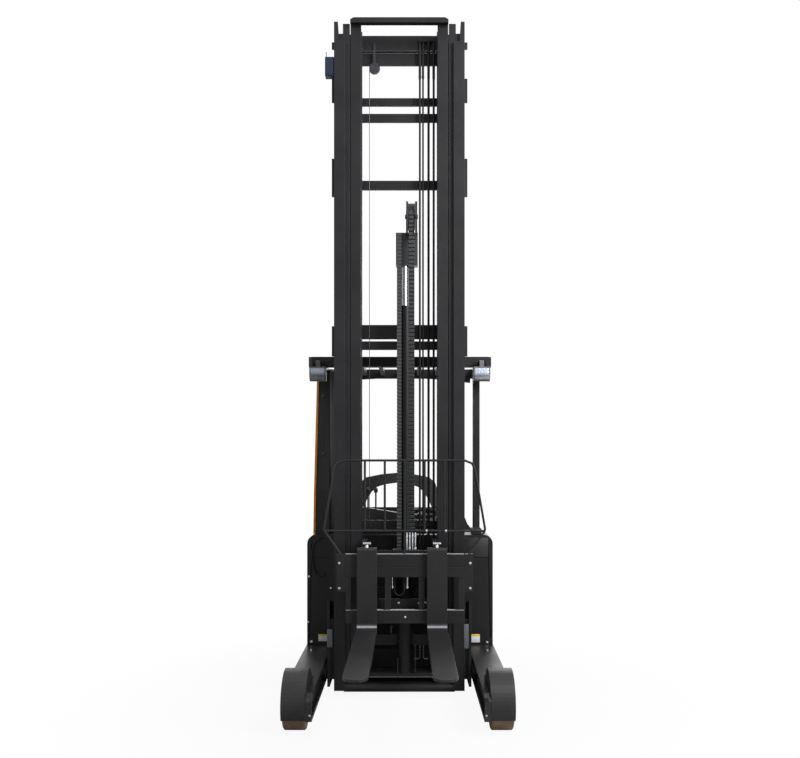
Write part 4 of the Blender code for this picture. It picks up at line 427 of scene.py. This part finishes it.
def block(shape, x, y, z, edge=0.0012):
    """Adds a block between two values on each axis, with its edges broken."""
    middle = Vector(((x[0] + x[1]) / 2, (y[0] + y[1]) / 2, (z[0] + z[1]) / 2))
    sizes = (x[1] - x[0], y[1] - y[0], z[1] - z[0], 1.0)
    made = bmesh.ops.create_cube(shape, size=1.0,
                                 matrix=Matrix.Translation(middle) @ Matrix.Diagonal(sizes))
    edges = {side for corner in made["verts"] for side in corner.link_edges}
    bmesh.ops.bevel(shape, geom=list(edges), offset=min(edge, min(sizes[:3]) * 0.3), segments=2,
                    profile=0.5, affect="EDGES", material=-1)


FACINGS = {
    "front": Matrix.Rotation(math.radians(90.0), 4, "X"),
    "back": Matrix.Rotation(math.radians(-90.0), 4, "X"),
    "left": Matrix.Rotation(math.radians(90.0), 4, "Y"),
    "right": Matrix.Rotation(math.radians(-90.0), 4, "Y"),
    "up": Matrix.Identity(4),
}


def disc(shape, place, facing, radius, top_radius, start, high, sides):
    """Adds a short cone that stands on place and grows the way it faces, with its far rim broken."""
    stand = Matrix.Translation(place) @ FACINGS[facing] @ Matrix.Translation((0.0, 0.0, start + high / 2))
    made = bmesh.ops.create_cone(shape, cap_ends=True, cap_tris=False, segments=sides, radius1=radius,
                                 radius2=top_radius, depth=high, matrix=stand)
    far = stand @ Vector((0.0, 0.0, high / 2))
    rim = [side for corner in made["verts"] for side in corner.link_edges
           if all((end.co - far).length < top_radius * 1.05 for end in side.verts)]
    bmesh.ops.bevel(shape, geom=list(set(rim)), offset=min(high, top_radius) * 0.22, segments=2,
                    profile=0.5, affect="EDGES", material=-1)


def bolt(shape, place, facing, across, high):
    """Adds a washer with a hexagon head on it."""
    disc(shape, place, facing, across * 0.72, across * 0.72, -0.0003, 0.0019, 20)
    disc(shape, place, facing, across * 0.577, across * 0.577, 0.0014, high, 6)


def rounded(points, turn):
    """The points of a path whose corners are eased by a short curve."""
    path = [Vector(points[0])]
    for before, corner, after in zip(points, points[1:], points[2:]):
        corner = Vector(corner)
        arm_in = (Vector(before) - corner)
        arm_out = (Vector(after) - corner)
        start = corner + arm_in.normalized() * min(turn, arm_in.length * 0.45)
        end = corner + arm_out.normalized() * min(turn, arm_out.length * 0.45)
        for step in range(7):
            share = step / 6.0
            path.append(start.lerp(corner, share).lerp(corner.lerp(end, share), share))
    path.append(Vector(points[-1]))
    return path


def tube(shape, path, radius):
    """Adds a round tube along a path, with closed ends."""
    line = bpy.data.curves.new("tube_line", "CURVE")
    line.dimensions = "3D"
    line.bevel_depth = radius
    line.bevel_resolution = 2
    line.use_fill_caps = True
    spline = line.splines.new("POLY")
    spline.points.add(len(path) - 1)
    for point, place in zip(spline.points, path):
        point.co = (place[0], place[1], place[2], 1.0)
    holder = bpy.data.objects.new("tube_line", line)
    mesh = bpy.data.meshes.new_from_object(holder)
    shape.from_mesh(mesh)
    bpy.data.objects.remove(holder)
    bpy.data.curves.remove(line)
    bpy.data.meshes.remove(mesh)


# %% [markdown]
# ## Seat padding
# The seat is foam under sewn vinyl. The foam pushes the cover out between its seams, so the sides
# crown and the corners pull in. A cloth simulation with a little pressure inside does the same to
# a remeshed copy of the plain block. The sewn channels are pressed in afterwards.


# %% Cushions
def pressed(item):
    """Applies the modifiers of an item to its mesh."""
    done = bpy.data.meshes.new_from_object(item.evaluated_get(bpy.context.evaluated_depsgraph_get()))
    old = item.data
    item.modifiers.clear()
    item.data = done
    bpy.data.meshes.remove(old)


def swell(item, cap):
    """Swells the item as a cushion, by no more than cap at any point."""
    start = [corner.co.copy() for corner in item.data.vertices]
    cloth = item.modifiers.new("foam", "CLOTH")
    cloth.settings.use_pressure = True
    cloth.settings.uniform_pressure_force = 4.0
    cloth.settings.effector_weights.gravity = 0.0
    cloth.settings.quality = 5
    for count in range(1, 21):
        bpy.context.scene.frame_set(count)
    pressed(item)
    bpy.context.scene.frame_set(1)
    for corner, origin in zip(item.data.vertices, start):
        move = corner.co - origin
        if move.length > cap:
            corner.co = origin + move.normalized() * cap


FOAM_GRID = 0.006
SEAM_WIDE = 0.005
SEAM_DEEP = 0.005
PAD_CLEAR = 0.0004


def cushion(name, node, shrink, cap, face, across, channels, border):
    """Makes a padded piece from a node. Channels are places of seams along the axis named by across."""
    low, high = (Vector(corner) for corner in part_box(node))
    middle = (low + high) / 2
    mesh = bpy.data.objects[node].data.copy()
    mesh.transform(Matrix.Translation(middle) @ Matrix.Diagonal((shrink, shrink, shrink, 1.0))
                   @ Matrix.Translation(-middle))
    item = bpy.data.objects.new(name, mesh)
    bpy.context.scene.collection.objects.link(item)
    even = item.modifiers.new("even", "REMESH")
    even.mode = "VOXEL"
    even.voxel_size = FOAM_GRID
    pressed(item)
    swell(item, cap)
    finer = item.modifiers.new("finer", "SUBSURF")
    finer.levels = 1
    finer.render_levels = 1
    pressed(item)
    up = Vector(face)
    others = [axis for axis in range(3) if abs(up[axis]) < 0.5]
    on_face = [corner.normal.dot(up) > 0.35 for corner in item.data.vertices]
    for corner, pressed_in in zip(item.data.vertices, on_face):
        if pressed_in:
            press = 0.0
            for seam in channels:
                press += math.exp(-((corner.co[across] - seam) / SEAM_WIDE) ** 2)
            inset = max(abs(corner.co[axis] - middle[axis]) - (high[axis] - low[axis]) / 2
                        for axis in others)
            press += math.exp(-((inset + border) / SEAM_WIDE) ** 2)
            corner.co -= up * SEAM_DEEP * min(press, 1.0)
        for axis in range(3):
            corner.co[axis] = min(max(corner.co[axis], low[axis] + PAD_CLEAR), high[axis] - PAD_CLEAR)
    item.data.materials.clear()
    item.data.materials.append(seat_vinyl)
    item.data.shade_smooth()
    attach(item, "chassis")
    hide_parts(node)
    return item


# Columns: name, node, start size, most swelling, way it faces, axis across the channels, channels, border
CUSHIONS = (
    ("seat_pad_base", "seat_cushion", 0.95, 0.010, (0, 0, 1), 1, (0.965, 1.115), 0.045),
    ("seat_pad_back", "seat_back", 0.95, 0.009, (1, 0, 0), 2, (1.02, 1.14, 1.26), 0.050),
)
for row in CUSHIONS:
    pad = cushion(*row)
    print(pad.name, "has", len(pad.data.polygons), "faces")

# %% [markdown]
# ## Bolts
# Bolts hold the cover, the legs, the carriage and the backrest. They are hexagon heads on washers,
# zinc plated, so they catch the light as small bright dots.

# %% Bolts by body
# Columns: body, facing, place, width across flats, height of head
BOLTS = (
    ("fork_carriage", "front", (0.0371, -0.1402, 0.5480), 0.010, 0.005),
    ("fork_carriage", "front", (0.4307, -0.1380, 0.8742), 0.011, 0.006),
    ("fork_carriage", "front", (0.4307, -0.1380, 0.7223), 0.011, 0.006),
    ("fork_carriage", "front", (-0.3627, -0.1380, 0.8742), 0.011, 0.006),
    ("fork_carriage", "front", (-0.3627, -0.1380, 0.7223), 0.011, 0.006),
    ("lift_carriage", "front", (-0.0039, -0.0400, 0.6150), 0.010, 0.005),
    ("lift_carriage", "front", (0.1220, -0.0400, 0.6130), 0.010, 0.005),
    ("lift_carriage", "front", (0.1630, -0.0400, 0.6160), 0.012, 0.005),
    ("chassis", "front", (-0.6256, 0.4825, 0.3910), 0.010, 0.006),
    ("chassis", "front", (-0.4707, 0.4825, 0.4690), 0.010, 0.006),
    ("chassis", "front", (-0.4707, 0.4825, 0.6220), 0.010, 0.006),
    ("chassis", "front", (-0.6200, 0.4825, 0.7010), 0.010, 0.006),
    ("chassis", "front", (0.5933, 0.4825, 0.2517), 0.013, 0.007),
    ("chassis", "front", (-0.6024, 0.4825, 0.2557), 0.013, 0.007),
    ("chassis", "up", (0.5762, 0.3080, 0.2370), 0.014, 0.009),
    ("chassis", "up", (-0.5820, 0.3080, 0.2370), 0.014, 0.009),
    ("chassis", "front", (0.4760, -0.6895, 0.1260), 0.008, 0.004),
    ("chassis", "front", (-0.4760, -0.6895, 0.1260), 0.008, 0.004),
)
for body in ("fork_carriage", "lift_carriage", "chassis"):
    shape = bmesh.new()
    rows = [row for row in BOLTS if row[0] == body]
    for _, facing, place, across, high in rows:
        bolt(shape, place, facing, across, high)
    finish_piece("bolts_" + body, shape, zinc, body)
    print("bolts on", body + ":", len(rows))

# %% [markdown]
# ## Load wheel hubs
# Each load wheel turns on roller bearings behind a pressed cap, and six screws hold the cap's ring.

# %% Hub caps
# Columns: body, side, way it faces
HUBS = (("load_wheel_left", 1, "left"), ("load_wheel_right", -1, "right"))
HUB_FACE_X = 0.6315
SCREW_CIRCLE = 0.065
SCREW_COUNT = 6
for body, side, facing in HUBS:
    shape = bmesh.new()
    disc(shape, (side * HUB_FACE_X, *LOAD_AXLE), facing, 0.0380, 0.0330, -0.0003, 0.0030, 32)
    for index in range(SCREW_COUNT):
        turn = math.radians(360.0 / SCREW_COUNT * index)
        place = (side * HUB_FACE_X, LOAD_AXLE[0] + SCREW_CIRCLE * math.cos(turn),
                 LOAD_AXLE[1] + SCREW_CIRCLE * math.sin(turn))
        disc(shape, place, facing, 0.0080, 0.0080, -0.0003, 0.0030, 6)
    finish_piece("hub_" + body, shape, oiled_steel, body)
print("hubs:", len(HUBS))

# %% [markdown]
# ## Fork pins and sleeves
# A spring pin with a T handle locks each fork on its bar. The handle is bright steel and slips
# over the pin. Two bright sleeves on the backrest's waist bar stop the side guards from rattling.

# %% Handles and sleeves
FORK_MIDDLES = (-0.1935, 0.2295)
PIN_Y = -0.1582
PIN_FOOT_Z = 0.9702
HANDLE_Z = 0.996
HANDLE_HALF = 0.024
SLEEVES_X = (0.1672, 0.2851)
SLEEVE_HALF = 0.005
WAIST_Y = -0.125
WAIST_Z = 1.069
shape = bmesh.new()
for middle in FORK_MIDDLES:
    tube(shape, [Vector((middle - HANDLE_HALF, PIN_Y, HANDLE_Z)),
                 Vector((middle + HANDLE_HALF, PIN_Y, HANDLE_Z))], 0.0078)
    disc(shape, (middle, PIN_Y, PIN_FOOT_Z), "up", 0.0105, 0.0090, 0.0, 0.018, 16)
for x in SLEEVES_X:
    tube(shape, [Vector((x - SLEEVE_HALF, WAIST_Y, WAIST_Z)),
                 Vector((x + SLEEVE_HALF, WAIST_Y, WAIST_Z))], 0.0100)
finish_piece("fork_pin_handles", shape, zinc, "fork_carriage")
print("handles:", len(FORK_MIDDLES))

# %% [markdown]
# ## Chain anchors
# The lift chain ends on the carriage's shelf. Four threaded anchors stand there in front of it, two
# for the chain and two for the hose carrier. Each is a rod with a collar, and two have a lock nut.

# %% Anchors
# Columns: place across, whether it has a nut at its foot
ANCHORS = ((0.0480, False), (0.0654, True), (0.0828, False), (0.1002, True))
ANCHOR_Y = -0.0130
SHELF_Z = 0.9403
ANCHOR_LONG = 0.1077
shape = bmesh.new()
for x, nut in ANCHORS:
    disc(shape, (x, ANCHOR_Y, SHELF_Z), "up", 0.0046, 0.0046, 0.0, ANCHOR_LONG, 14)
    disc(shape, (x, ANCHOR_Y, SHELF_Z), "up", 0.0058, 0.0058, 0.078, 0.014, 14)
    if nut:
        disc(shape, (x, ANCHOR_Y, SHELF_Z), "up", 0.0072, 0.0072, 0.004, 0.012, 6)
finish_piece("chain_anchors", shape, zinc, "lift_carriage")
print("anchors:", len(ANCHORS))

# %% [markdown]
# ## Pulley guard
# The chain pulley on the free-lift head runs between two folded guards, which keep the chain on its
# groove. Each guard is a narrow plate in front of the pulley with a return along its side.

# %% Guard
# Columns: the front plate's two sides, the return's two sides
GUARDS = ((0.0425, 0.0545, 0.0425, 0.0465), (0.0985, 0.1115, 0.1075, 0.1115))
GUARD_Z = (2.912, 3.108)
shape = bmesh.new()
for plate_low, plate_high, return_low, return_high in GUARDS:
    block(shape, (plate_low, plate_high), (-0.0100, -0.0060), GUARD_Z, 0.001)
    block(shape, (return_low, return_high), (-0.0100, 0.0560), GUARD_Z, 0.001)
finish_piece("pulley_guard", shape, mast_coat, "free_lift_head")
print("guards:", len(GUARDS))

# %% [markdown]
# ## Hydraulic pipes
# Steel pipes carry oil to the free-lift cylinder's foot and to the tilt and side-shift cylinders.
# They are bent tubes with a thicker round sleeve at each end, where the nut sits.

# %% Pipes
# Columns: name, body, finish, radius, paths
PIPES = (
    ("free_lift_pipes", "mast_inner", oiled_steel, 0.0040, (
        ((0.0997, 0.062, 0.334), (0.0997, 0.062, 0.160)),
        ((0.1290, 0.062, 0.334), (0.1290, 0.062, 0.246), (0.0920, 0.062, 0.246)),
        ((0.1510, 0.062, 0.334), (0.1510, 0.062, 0.246), (0.1800, 0.062, 0.246)),
        ((-0.0112, 0.062, 0.249), (-0.0112, 0.062, 0.158)))),
    ("tilt_pipes", "tilt_frame", zinc, 0.0045, (
        ((-0.0425, -0.0900, 0.7995), (-0.0425, -0.0900, 0.7138)),
        ((0.0504, -0.0900, 0.7995), (0.0504, -0.0900, 0.7138)))),
    ("body_pipe", "chassis", zinc, 0.0055, (
        ((-0.0610, 0.4765, 0.3700), (-0.0610, 0.4765, 0.3100), (-0.0350, 0.4765, 0.2900),
         (0.0000, 0.4765, 0.2900), (0.0000, 0.4765, 0.3700)),)),
)
for name, body, finish, radius, paths in PIPES:
    shape = bmesh.new()
    for points in paths:
        tube(shape, rounded(points, 0.014), radius)
        for end, inner in ((points[0], points[1]), (points[-1], points[-2])):
            way = (Vector(inner) - Vector(end)).normalized()
            tube(shape, [Vector(end) + way * 0.002, Vector(end) + way * 0.014], radius * 1.7)
    finish_piece(name, shape, finish, body)
    print(name, "has", len(paths), "runs")

# %% [markdown]
# ## Hoses up the mast
# Four hydraulic hoses run up behind the inner mast, with crimped sleeves near the top and a bar
# clamp where a tie carries them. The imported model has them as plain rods. Round tubes with sleeves
# and clamps at the real places stand in for them.

# %% Mast hoses
# Columns: place across, radius
MAST_HOSES = ((0.1305, 0.0067), (0.1508, 0.0058), (0.1864, 0.0080), (0.2195, 0.0075))
HOSE_Y = 0.1607
HOSE_Z = (0.7502, 4.2058)
SLEEVE_Z = (3.9460, 4.1400)
CRIMPS_Z = (3.9560, 4.1220)
CRIMP_RADIUS = 0.0090
CLAMPS_Z = (1.080, 4.190)
shape = bmesh.new()
for x, radius in MAST_HOSES:
    tube(shape, [Vector((x, HOSE_Y, z)) for z in HOSE_Z], radius * 0.97)
    tube(shape, [Vector((x, HOSE_Y, z)) for z in SLEEVE_Z], min(radius + 0.0016, 0.0088))
    for low in CRIMPS_Z:
        tube(shape, [Vector((x, HOSE_Y, z)) for z in (low, low + 0.008)], CRIMP_RADIUS)
for z in CLAMPS_Z:
    block(shape, (0.1214, 0.2264), (0.1530, 0.1704), (z - 0.008, z + 0.008), 0.001)
hoses = finish_piece("mast_hose_bundle", shape, hose_rubber, "mast_inner")
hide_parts("mast_hoses")
print("hoses:", len(MAST_HOSES))

# %% [markdown]
# ## Cables
# A short cable hangs in a loop under the tilt frame, for the side shift, and another hangs at the
# body's front on the right-hand side. Each one starts and ends on the truck.


# %% Cable loops
def smooth_path(points, steps=8):
    """A path of short steps through all the points, without corners."""
    path = []
    ends = [points[0]] + list(points) + [points[-1]]
    for a, b, c, d in zip(ends, ends[1:], ends[2:], ends[3:]):
        a, b, c, d = Vector(a), Vector(b), Vector(c), Vector(d)
        for step in range(steps):
            t = step / steps
            path.append(0.5 * ((2 * b) + (c - a) * t + (2 * a - 5 * b + 4 * c - d) * t * t
                               + (3 * b - a - 3 * c + d) * t ** 3))
    path.append(Vector(points[-1]))
    return path


# Columns: name, body, radius, points
CABLES = (
    ("side_shift_cable", "tilt_frame", 0.0035, (
        (-0.0260, -0.0900, 0.8002), (-0.0260, -0.0900, 0.7600), (-0.0280, -0.0900, 0.7000),
        (-0.0120, -0.0900, 0.6740), (0.0120, -0.0900, 0.6740), (0.0300, -0.0900, 0.7000),
        (0.0300, -0.0900, 0.7600), (0.0300, -0.0900, 0.8002))),
    ("body_cable", "chassis", 0.0055, (
        (-0.5280, 0.4825, 0.9650), (-0.5500, 0.4740, 0.9600), (-0.5850, 0.4720, 0.9250),
        (-0.5980, 0.4720, 0.8550), (-0.5900, 0.4720, 0.7700), (-0.5600, 0.4720, 0.7150),
        (-0.5240, 0.4740, 0.7080), (-0.5120, 0.4825, 0.7250))),
)
for name, body, radius, points in CABLES:
    path = smooth_path(points)
    shape = bmesh.new()
    tube(shape, path, radius)
    piece = finish_piece(name, shape, hose_rubber, body)

# %% [markdown]
# ## Plates and panels
# The cover's front carries two blank labels, yellow above white, and a lighter pressed panel on
# the right. The reach carriage carries two grey wear plates beside the mast. The hood has a bright
# trim line along its top.

# %% Plates
# Columns: name, finish, slot, body, x, y, z
PLATES = (
    ("wear_plates", plate_coat, "grey_panel", "mast_base", (
        ((0.4040, 0.4330), (0.0195, 0.0233), (0.320, 0.472)),
        ((-0.4520, -0.4190), (0.0195, 0.0233), (0.327, 0.439)))),
    ("label_yellow", yellow_print, "orange_coat", "chassis", (
        ((-0.5560, -0.4950), (0.4817, 0.4824), (0.2950, 0.3080)),
        ((0.4750, 0.5450), (0.4817, 0.4824), (0.2950, 0.3080)))),
    ("label_white", white_print, "grey_panel", "chassis", (
        ((-0.5560, -0.4950), (0.4817, 0.4824), (0.2600, 0.2945)),
        ((0.4750, 0.5450), (0.4817, 0.4824), (0.2520, 0.2945)))),
    ("front_panel", panel_coat, "grey_panel", "chassis", (
        ((0.4405, 0.6008), (0.4785, 0.4823), (0.834, 0.966)),)),
    ("hood_trim", grey_coat, "grey_panel", "chassis", (
        ((-0.2950, -0.0380), (1.2625, 1.2648), (1.0580, 1.0625)),)),
    ("panel_slots", hose_rubber, "rubber_black", "chassis", (
        ((-0.5345, -0.5305), (0.5785, 0.5799), (1.5700, 1.9100)),)),
)
for name, finish, slot, body, rows in PLATES:
    shape = bmesh.new()
    for x, y, z in rows:
        block(shape, x, y, z, 0.001)
    finish_piece(name, shape, finish, body)
    print(name, "has", len(rows), "plates")

# %% [markdown]
# ## Work lamps
# Each lamp is a ribbed die-cast box with a clear fluted lens, hung from a folded bracket under the
# roof. The ribs lie across below the lens.

# %% Lamps
LAMP_MIDDLES = (-0.548, 0.548)
FLUTE_COUNT = 9
FLUTE_PITCH = 0.010
FINS_Z = (2.0615, 2.0525, 2.0435, 2.0345)
BRACKET_Y = (0.3760, 0.4240)
BRACKET_FOOT_Z = (2.1183, 2.1223)
BRACKET_ARM_Z = (2.1220, 2.1560)
lens = bmesh.new()
fins = bmesh.new()
brackets = bmesh.new()
for middle in LAMP_MIDDLES:
    block(lens, (middle - 0.0465, middle + 0.0465), (0.3508, 0.3528), (2.0705, 2.1095), 0.0006)
    for flute in range(FLUTE_COUNT):
        x = middle - 0.040 + FLUTE_PITCH * flute
        tube(lens, [Vector((x, 0.3512, 2.0720)), Vector((x, 0.3512, 2.1080))], 0.0022)
    for z in FINS_Z:
        block(fins, (middle - 0.050, middle + 0.050), (0.3462, 0.3700), (z, z + 0.0048), 0.0008)
    block(brackets, (middle - 0.036, middle + 0.032), BRACKET_Y, BRACKET_FOOT_Z, 0.001)
    for arm in (middle - 0.036, middle + 0.028):
        block(brackets, (arm, arm + 0.004), BRACKET_Y, BRACKET_ARM_Z, 0.001)
finish_piece("lamp_lenses", lens, lens_plastic, "chassis")
finish_piece("lamp_fins", fins, grey_coat, "chassis")
finish_piece("lamp_brackets", brackets, body_coat, "chassis")
print("lamps:", len(LAMP_MIDDLES))

# %% [markdown]
# ## Knobs, mat and spinner
# Two round knobs hold the side panel shut. A studded rubber mat covers the step where the driver's
# feet rest, so that wet shoes grip. The steering wheel has a spinner knob for one hand.

# %% Knobs
KNOBS_Z = (1.9425, 1.5390)
SPINNER_PLACE = (0.062, 1.0560, 1.1265)
shape = bmesh.new()
for z in KNOBS_Z:
    disc(shape, (-0.5326, 0.5800, z), "front", 0.0110, 0.0085, -0.0003, 0.012, 20)
finish_piece("panel_knobs", shape, abs_plastic, "chassis")

shape = bmesh.new()
disc(shape, SPINNER_PLACE, "up", 0.0060, 0.0060, -0.006, 0.018, 14)
disc(shape, SPINNER_PLACE, "up", 0.0190, 0.0150, 0.011, 0.022, 20)
finish_piece("spinner_knob", shape, abs_plastic, "chassis")
print("knobs:", len(KNOBS_Z) + 1)

# %% Floor mat
MAT_TOP_Z = 0.4590
STUD_PITCH = 0.035
STUD_COLUMNS = 16
STUD_ROWS = 11
shape = bmesh.new()
block(shape, (0.030, 0.600), (0.835, 1.245), (0.4555, MAT_TOP_Z), 0.0012)
for column in range(STUD_COLUMNS):
    for row in range(STUD_ROWS):
        disc(shape, (0.0525 + STUD_PITCH * column, 0.865 + STUD_PITCH * row, MAT_TOP_Z), "up",
             0.0090, 0.0070, -0.0002, 0.0024, 12)
finish_piece("floor_mat", shape, mat_rubber, "chassis")
print("mat studs:", STUD_COLUMNS * STUD_ROWS)

# %% [markdown]
# ## Skid plate, lining and antenna
# A folded plate in the body's dark paint closes the slit under the body's front edge, above the
# mast's foot. Inside the tall side panel there is a moulded lining with a raised field at the
# driver's shoulder. The sensor box on the mast has a short whip antenna on a rubber foot.

# %% Skid plate and lining
shape = bmesh.new()
SKID_X = (-0.4400, 0.4400)
block(shape, SKID_X, (0.5000, 0.5080), (0.0600, 0.0948), 0.002)
block(shape, SKID_X, (0.5060, 0.6200), (0.0600, 0.0660), 0.002)
finish_piece("belly_skid", shape, body_coat, "chassis")

shape = bmesh.new()
block(shape, (-0.4898, -0.4520), (0.6000, 0.8350), (0.9860, 2.1200), 0.010)
block(shape, (-0.4560, -0.4500), (0.6300, 0.8050), (1.0400, 1.4000), 0.002)
finish_piece("panel_lining", shape, abs_plastic, "chassis")
print("skid plate and lining made")

# %% Antenna
ANTENNA_X = -0.4610
ANTENNA_Y = 0.0600
shape = bmesh.new()
tube(shape, [Vector((ANTENNA_X, ANTENNA_Y, z)) for z in (4.0278, 4.0700)], 0.0022)
disc(shape, (ANTENNA_X, ANTENNA_Y, 4.0280), "up", 0.0060, 0.0050, -0.0003, 0.010, 14)
finish_piece("sensor_antenna", shape, hose_rubber, "mast_base")
print("antennas: 1")

# %% [markdown]
# ## Camera
# The picture was taken straight from the front, from about head height. The two legs and the mast
# give the vanishing point and the distance. The lens is shifted a little, as in the photograph.

# %% Place the camera
CAMERA_PLACE = (0.048, -5.08, 1.53)
LENS_MM = 36.7
LENS_SHIFT = (-0.00875, 0.095)
camera_data = bpy.data.cameras.new("studio_camera")
camera = bpy.data.objects.new("studio_camera", camera_data)
bpy.context.scene.collection.objects.link(camera)
camera.location = CAMERA_PLACE
camera.rotation_euler = (math.radians(90.0), 0.0, 0.0)
camera_data.lens = LENS_MM
camera_data.shift_x = LENS_SHIFT[0]
camera_data.shift_y = LENS_SHIFT[1]
bpy.context.scene.camera = camera
print("camera at", tuple(round(v, 3) for v in camera.location))

# %% [markdown]
# ## Studio
# Black machines need large soft lights, or their edges vanish. One broad lamp on the right is the
# brighter one, as in the photograph, with a weaker one on the left and one above. The floor is
# white, and it glows towards the camera away from the truck, so that only the soft shadow shows.


# %% Floor, sky and lamps
def area_lamp(name, place, target, wide, high, watts):
    """Adds a soft rectangular lamp at a place, turned towards a target."""
    lamp = bpy.data.lights.new(name, "AREA")
    lamp.shape = "RECTANGLE"
    lamp.size = wide
    lamp.size_y = high
    lamp.energy = watts
    item = bpy.data.objects.new(name, lamp)
    item.location = place
    item.rotation_euler = (Vector(target) - Vector(place)).to_track_quat("-Z", "Y").to_euler()
    bpy.context.scene.collection.objects.link(item)


# Columns: name, place, target, width, height, watts
LAMPS = (
    ("soft_right", (3.4, -3.2, 4.8), (0.3, 0.1, 3.4), 2.4, 3.0, 480),
    ("soft_low", (3.4, -4.4, 1.8), (0.3, 0.0, 0.6), 2.0, 1.6, 45),
    ("soft_left", (-4.4, -3.4, 3.2), (0.0, 0.2, 1.8), 3.0, 4.5, 60),
    ("soft_top", (0.0, 0.5, 7.2), (0.0, 0.3, 0.0), 4.0, 4.0, 70),
    ("soft_back", (0.6, 5.6, 3.4), (0.0, 0.4, 1.5), 4.0, 3.0, 120),
)
for name, place, target, wide, high, watts in LAMPS:
    area_lamp(name, place, target, wide, high, watts)

world = bpy.data.worlds.new("studio")
bpy.context.scene.world = world
world.use_nodes = True
tree = world.node_tree
sky = tree.nodes["Background"]
sky.inputs["Color"].default_value = (1.0, 1.0, 1.0, 1.0)
path = add(tree, "ShaderNodeLightPath")
seen = add(tree, "ShaderNodeMath", [(0, path.outputs["Is Camera Ray"]), (1, path.outputs["Is Glossy Ray"])],
           operation="MAXIMUM")
power = add(tree, "ShaderNodeMapRange", [("Value", seen.outputs[0])], To_Min=0.22, To_Max=1.0)
tree.links.new(power.outputs["Result"], sky.inputs["Strength"])

shape = bmesh.new()
bmesh.ops.create_grid(shape, x_segments=1, y_segments=1, size=30.0)
floor_mesh = bpy.data.meshes.new("studio_floor")
shape.to_mesh(floor_mesh)
shape.free()
floor = bpy.data.objects.new("studio_floor", floor_mesh)
bpy.context.scene.collection.objects.link(floor)
floor_finish, tree, shader, place = new_finish("studio_floor", "C4C4C4", 0.9)
path = add(tree, "ShaderNodeLightPath")
glow = add(tree, "ShaderNodeEmission", Color=(1.0, 1.0, 1.0, 1.0), Strength=1.0)
far = add(tree, "ShaderNodeVectorMath", [(0, place)], operation="LENGTH")
fade = add(tree, "ShaderNodeMapRange", [("Value", far.outputs["Value"])],
           From_Min=1.0, From_Max=2.2, To_Min=0.93, To_Max=1.0)
share = add(tree, "ShaderNodeMath", [(0, path.outputs["Is Camera Ray"]), (1, fade.outputs["Result"])],
            operation="MULTIPLY")
blend = add(tree, "ShaderNodeMixShader",
            [(0, share.outputs[0]), (1, shader.outputs[0]), (2, glow.outputs[0])])
tree.links.new(blend.outputs[0], tree.nodes["Material Output"].inputs["Surface"])
floor_mesh.materials.append(floor_finish)
bpy.context.scene.view_settings.view_transform = "Standard"
print("lamps:", len(LAMPS))
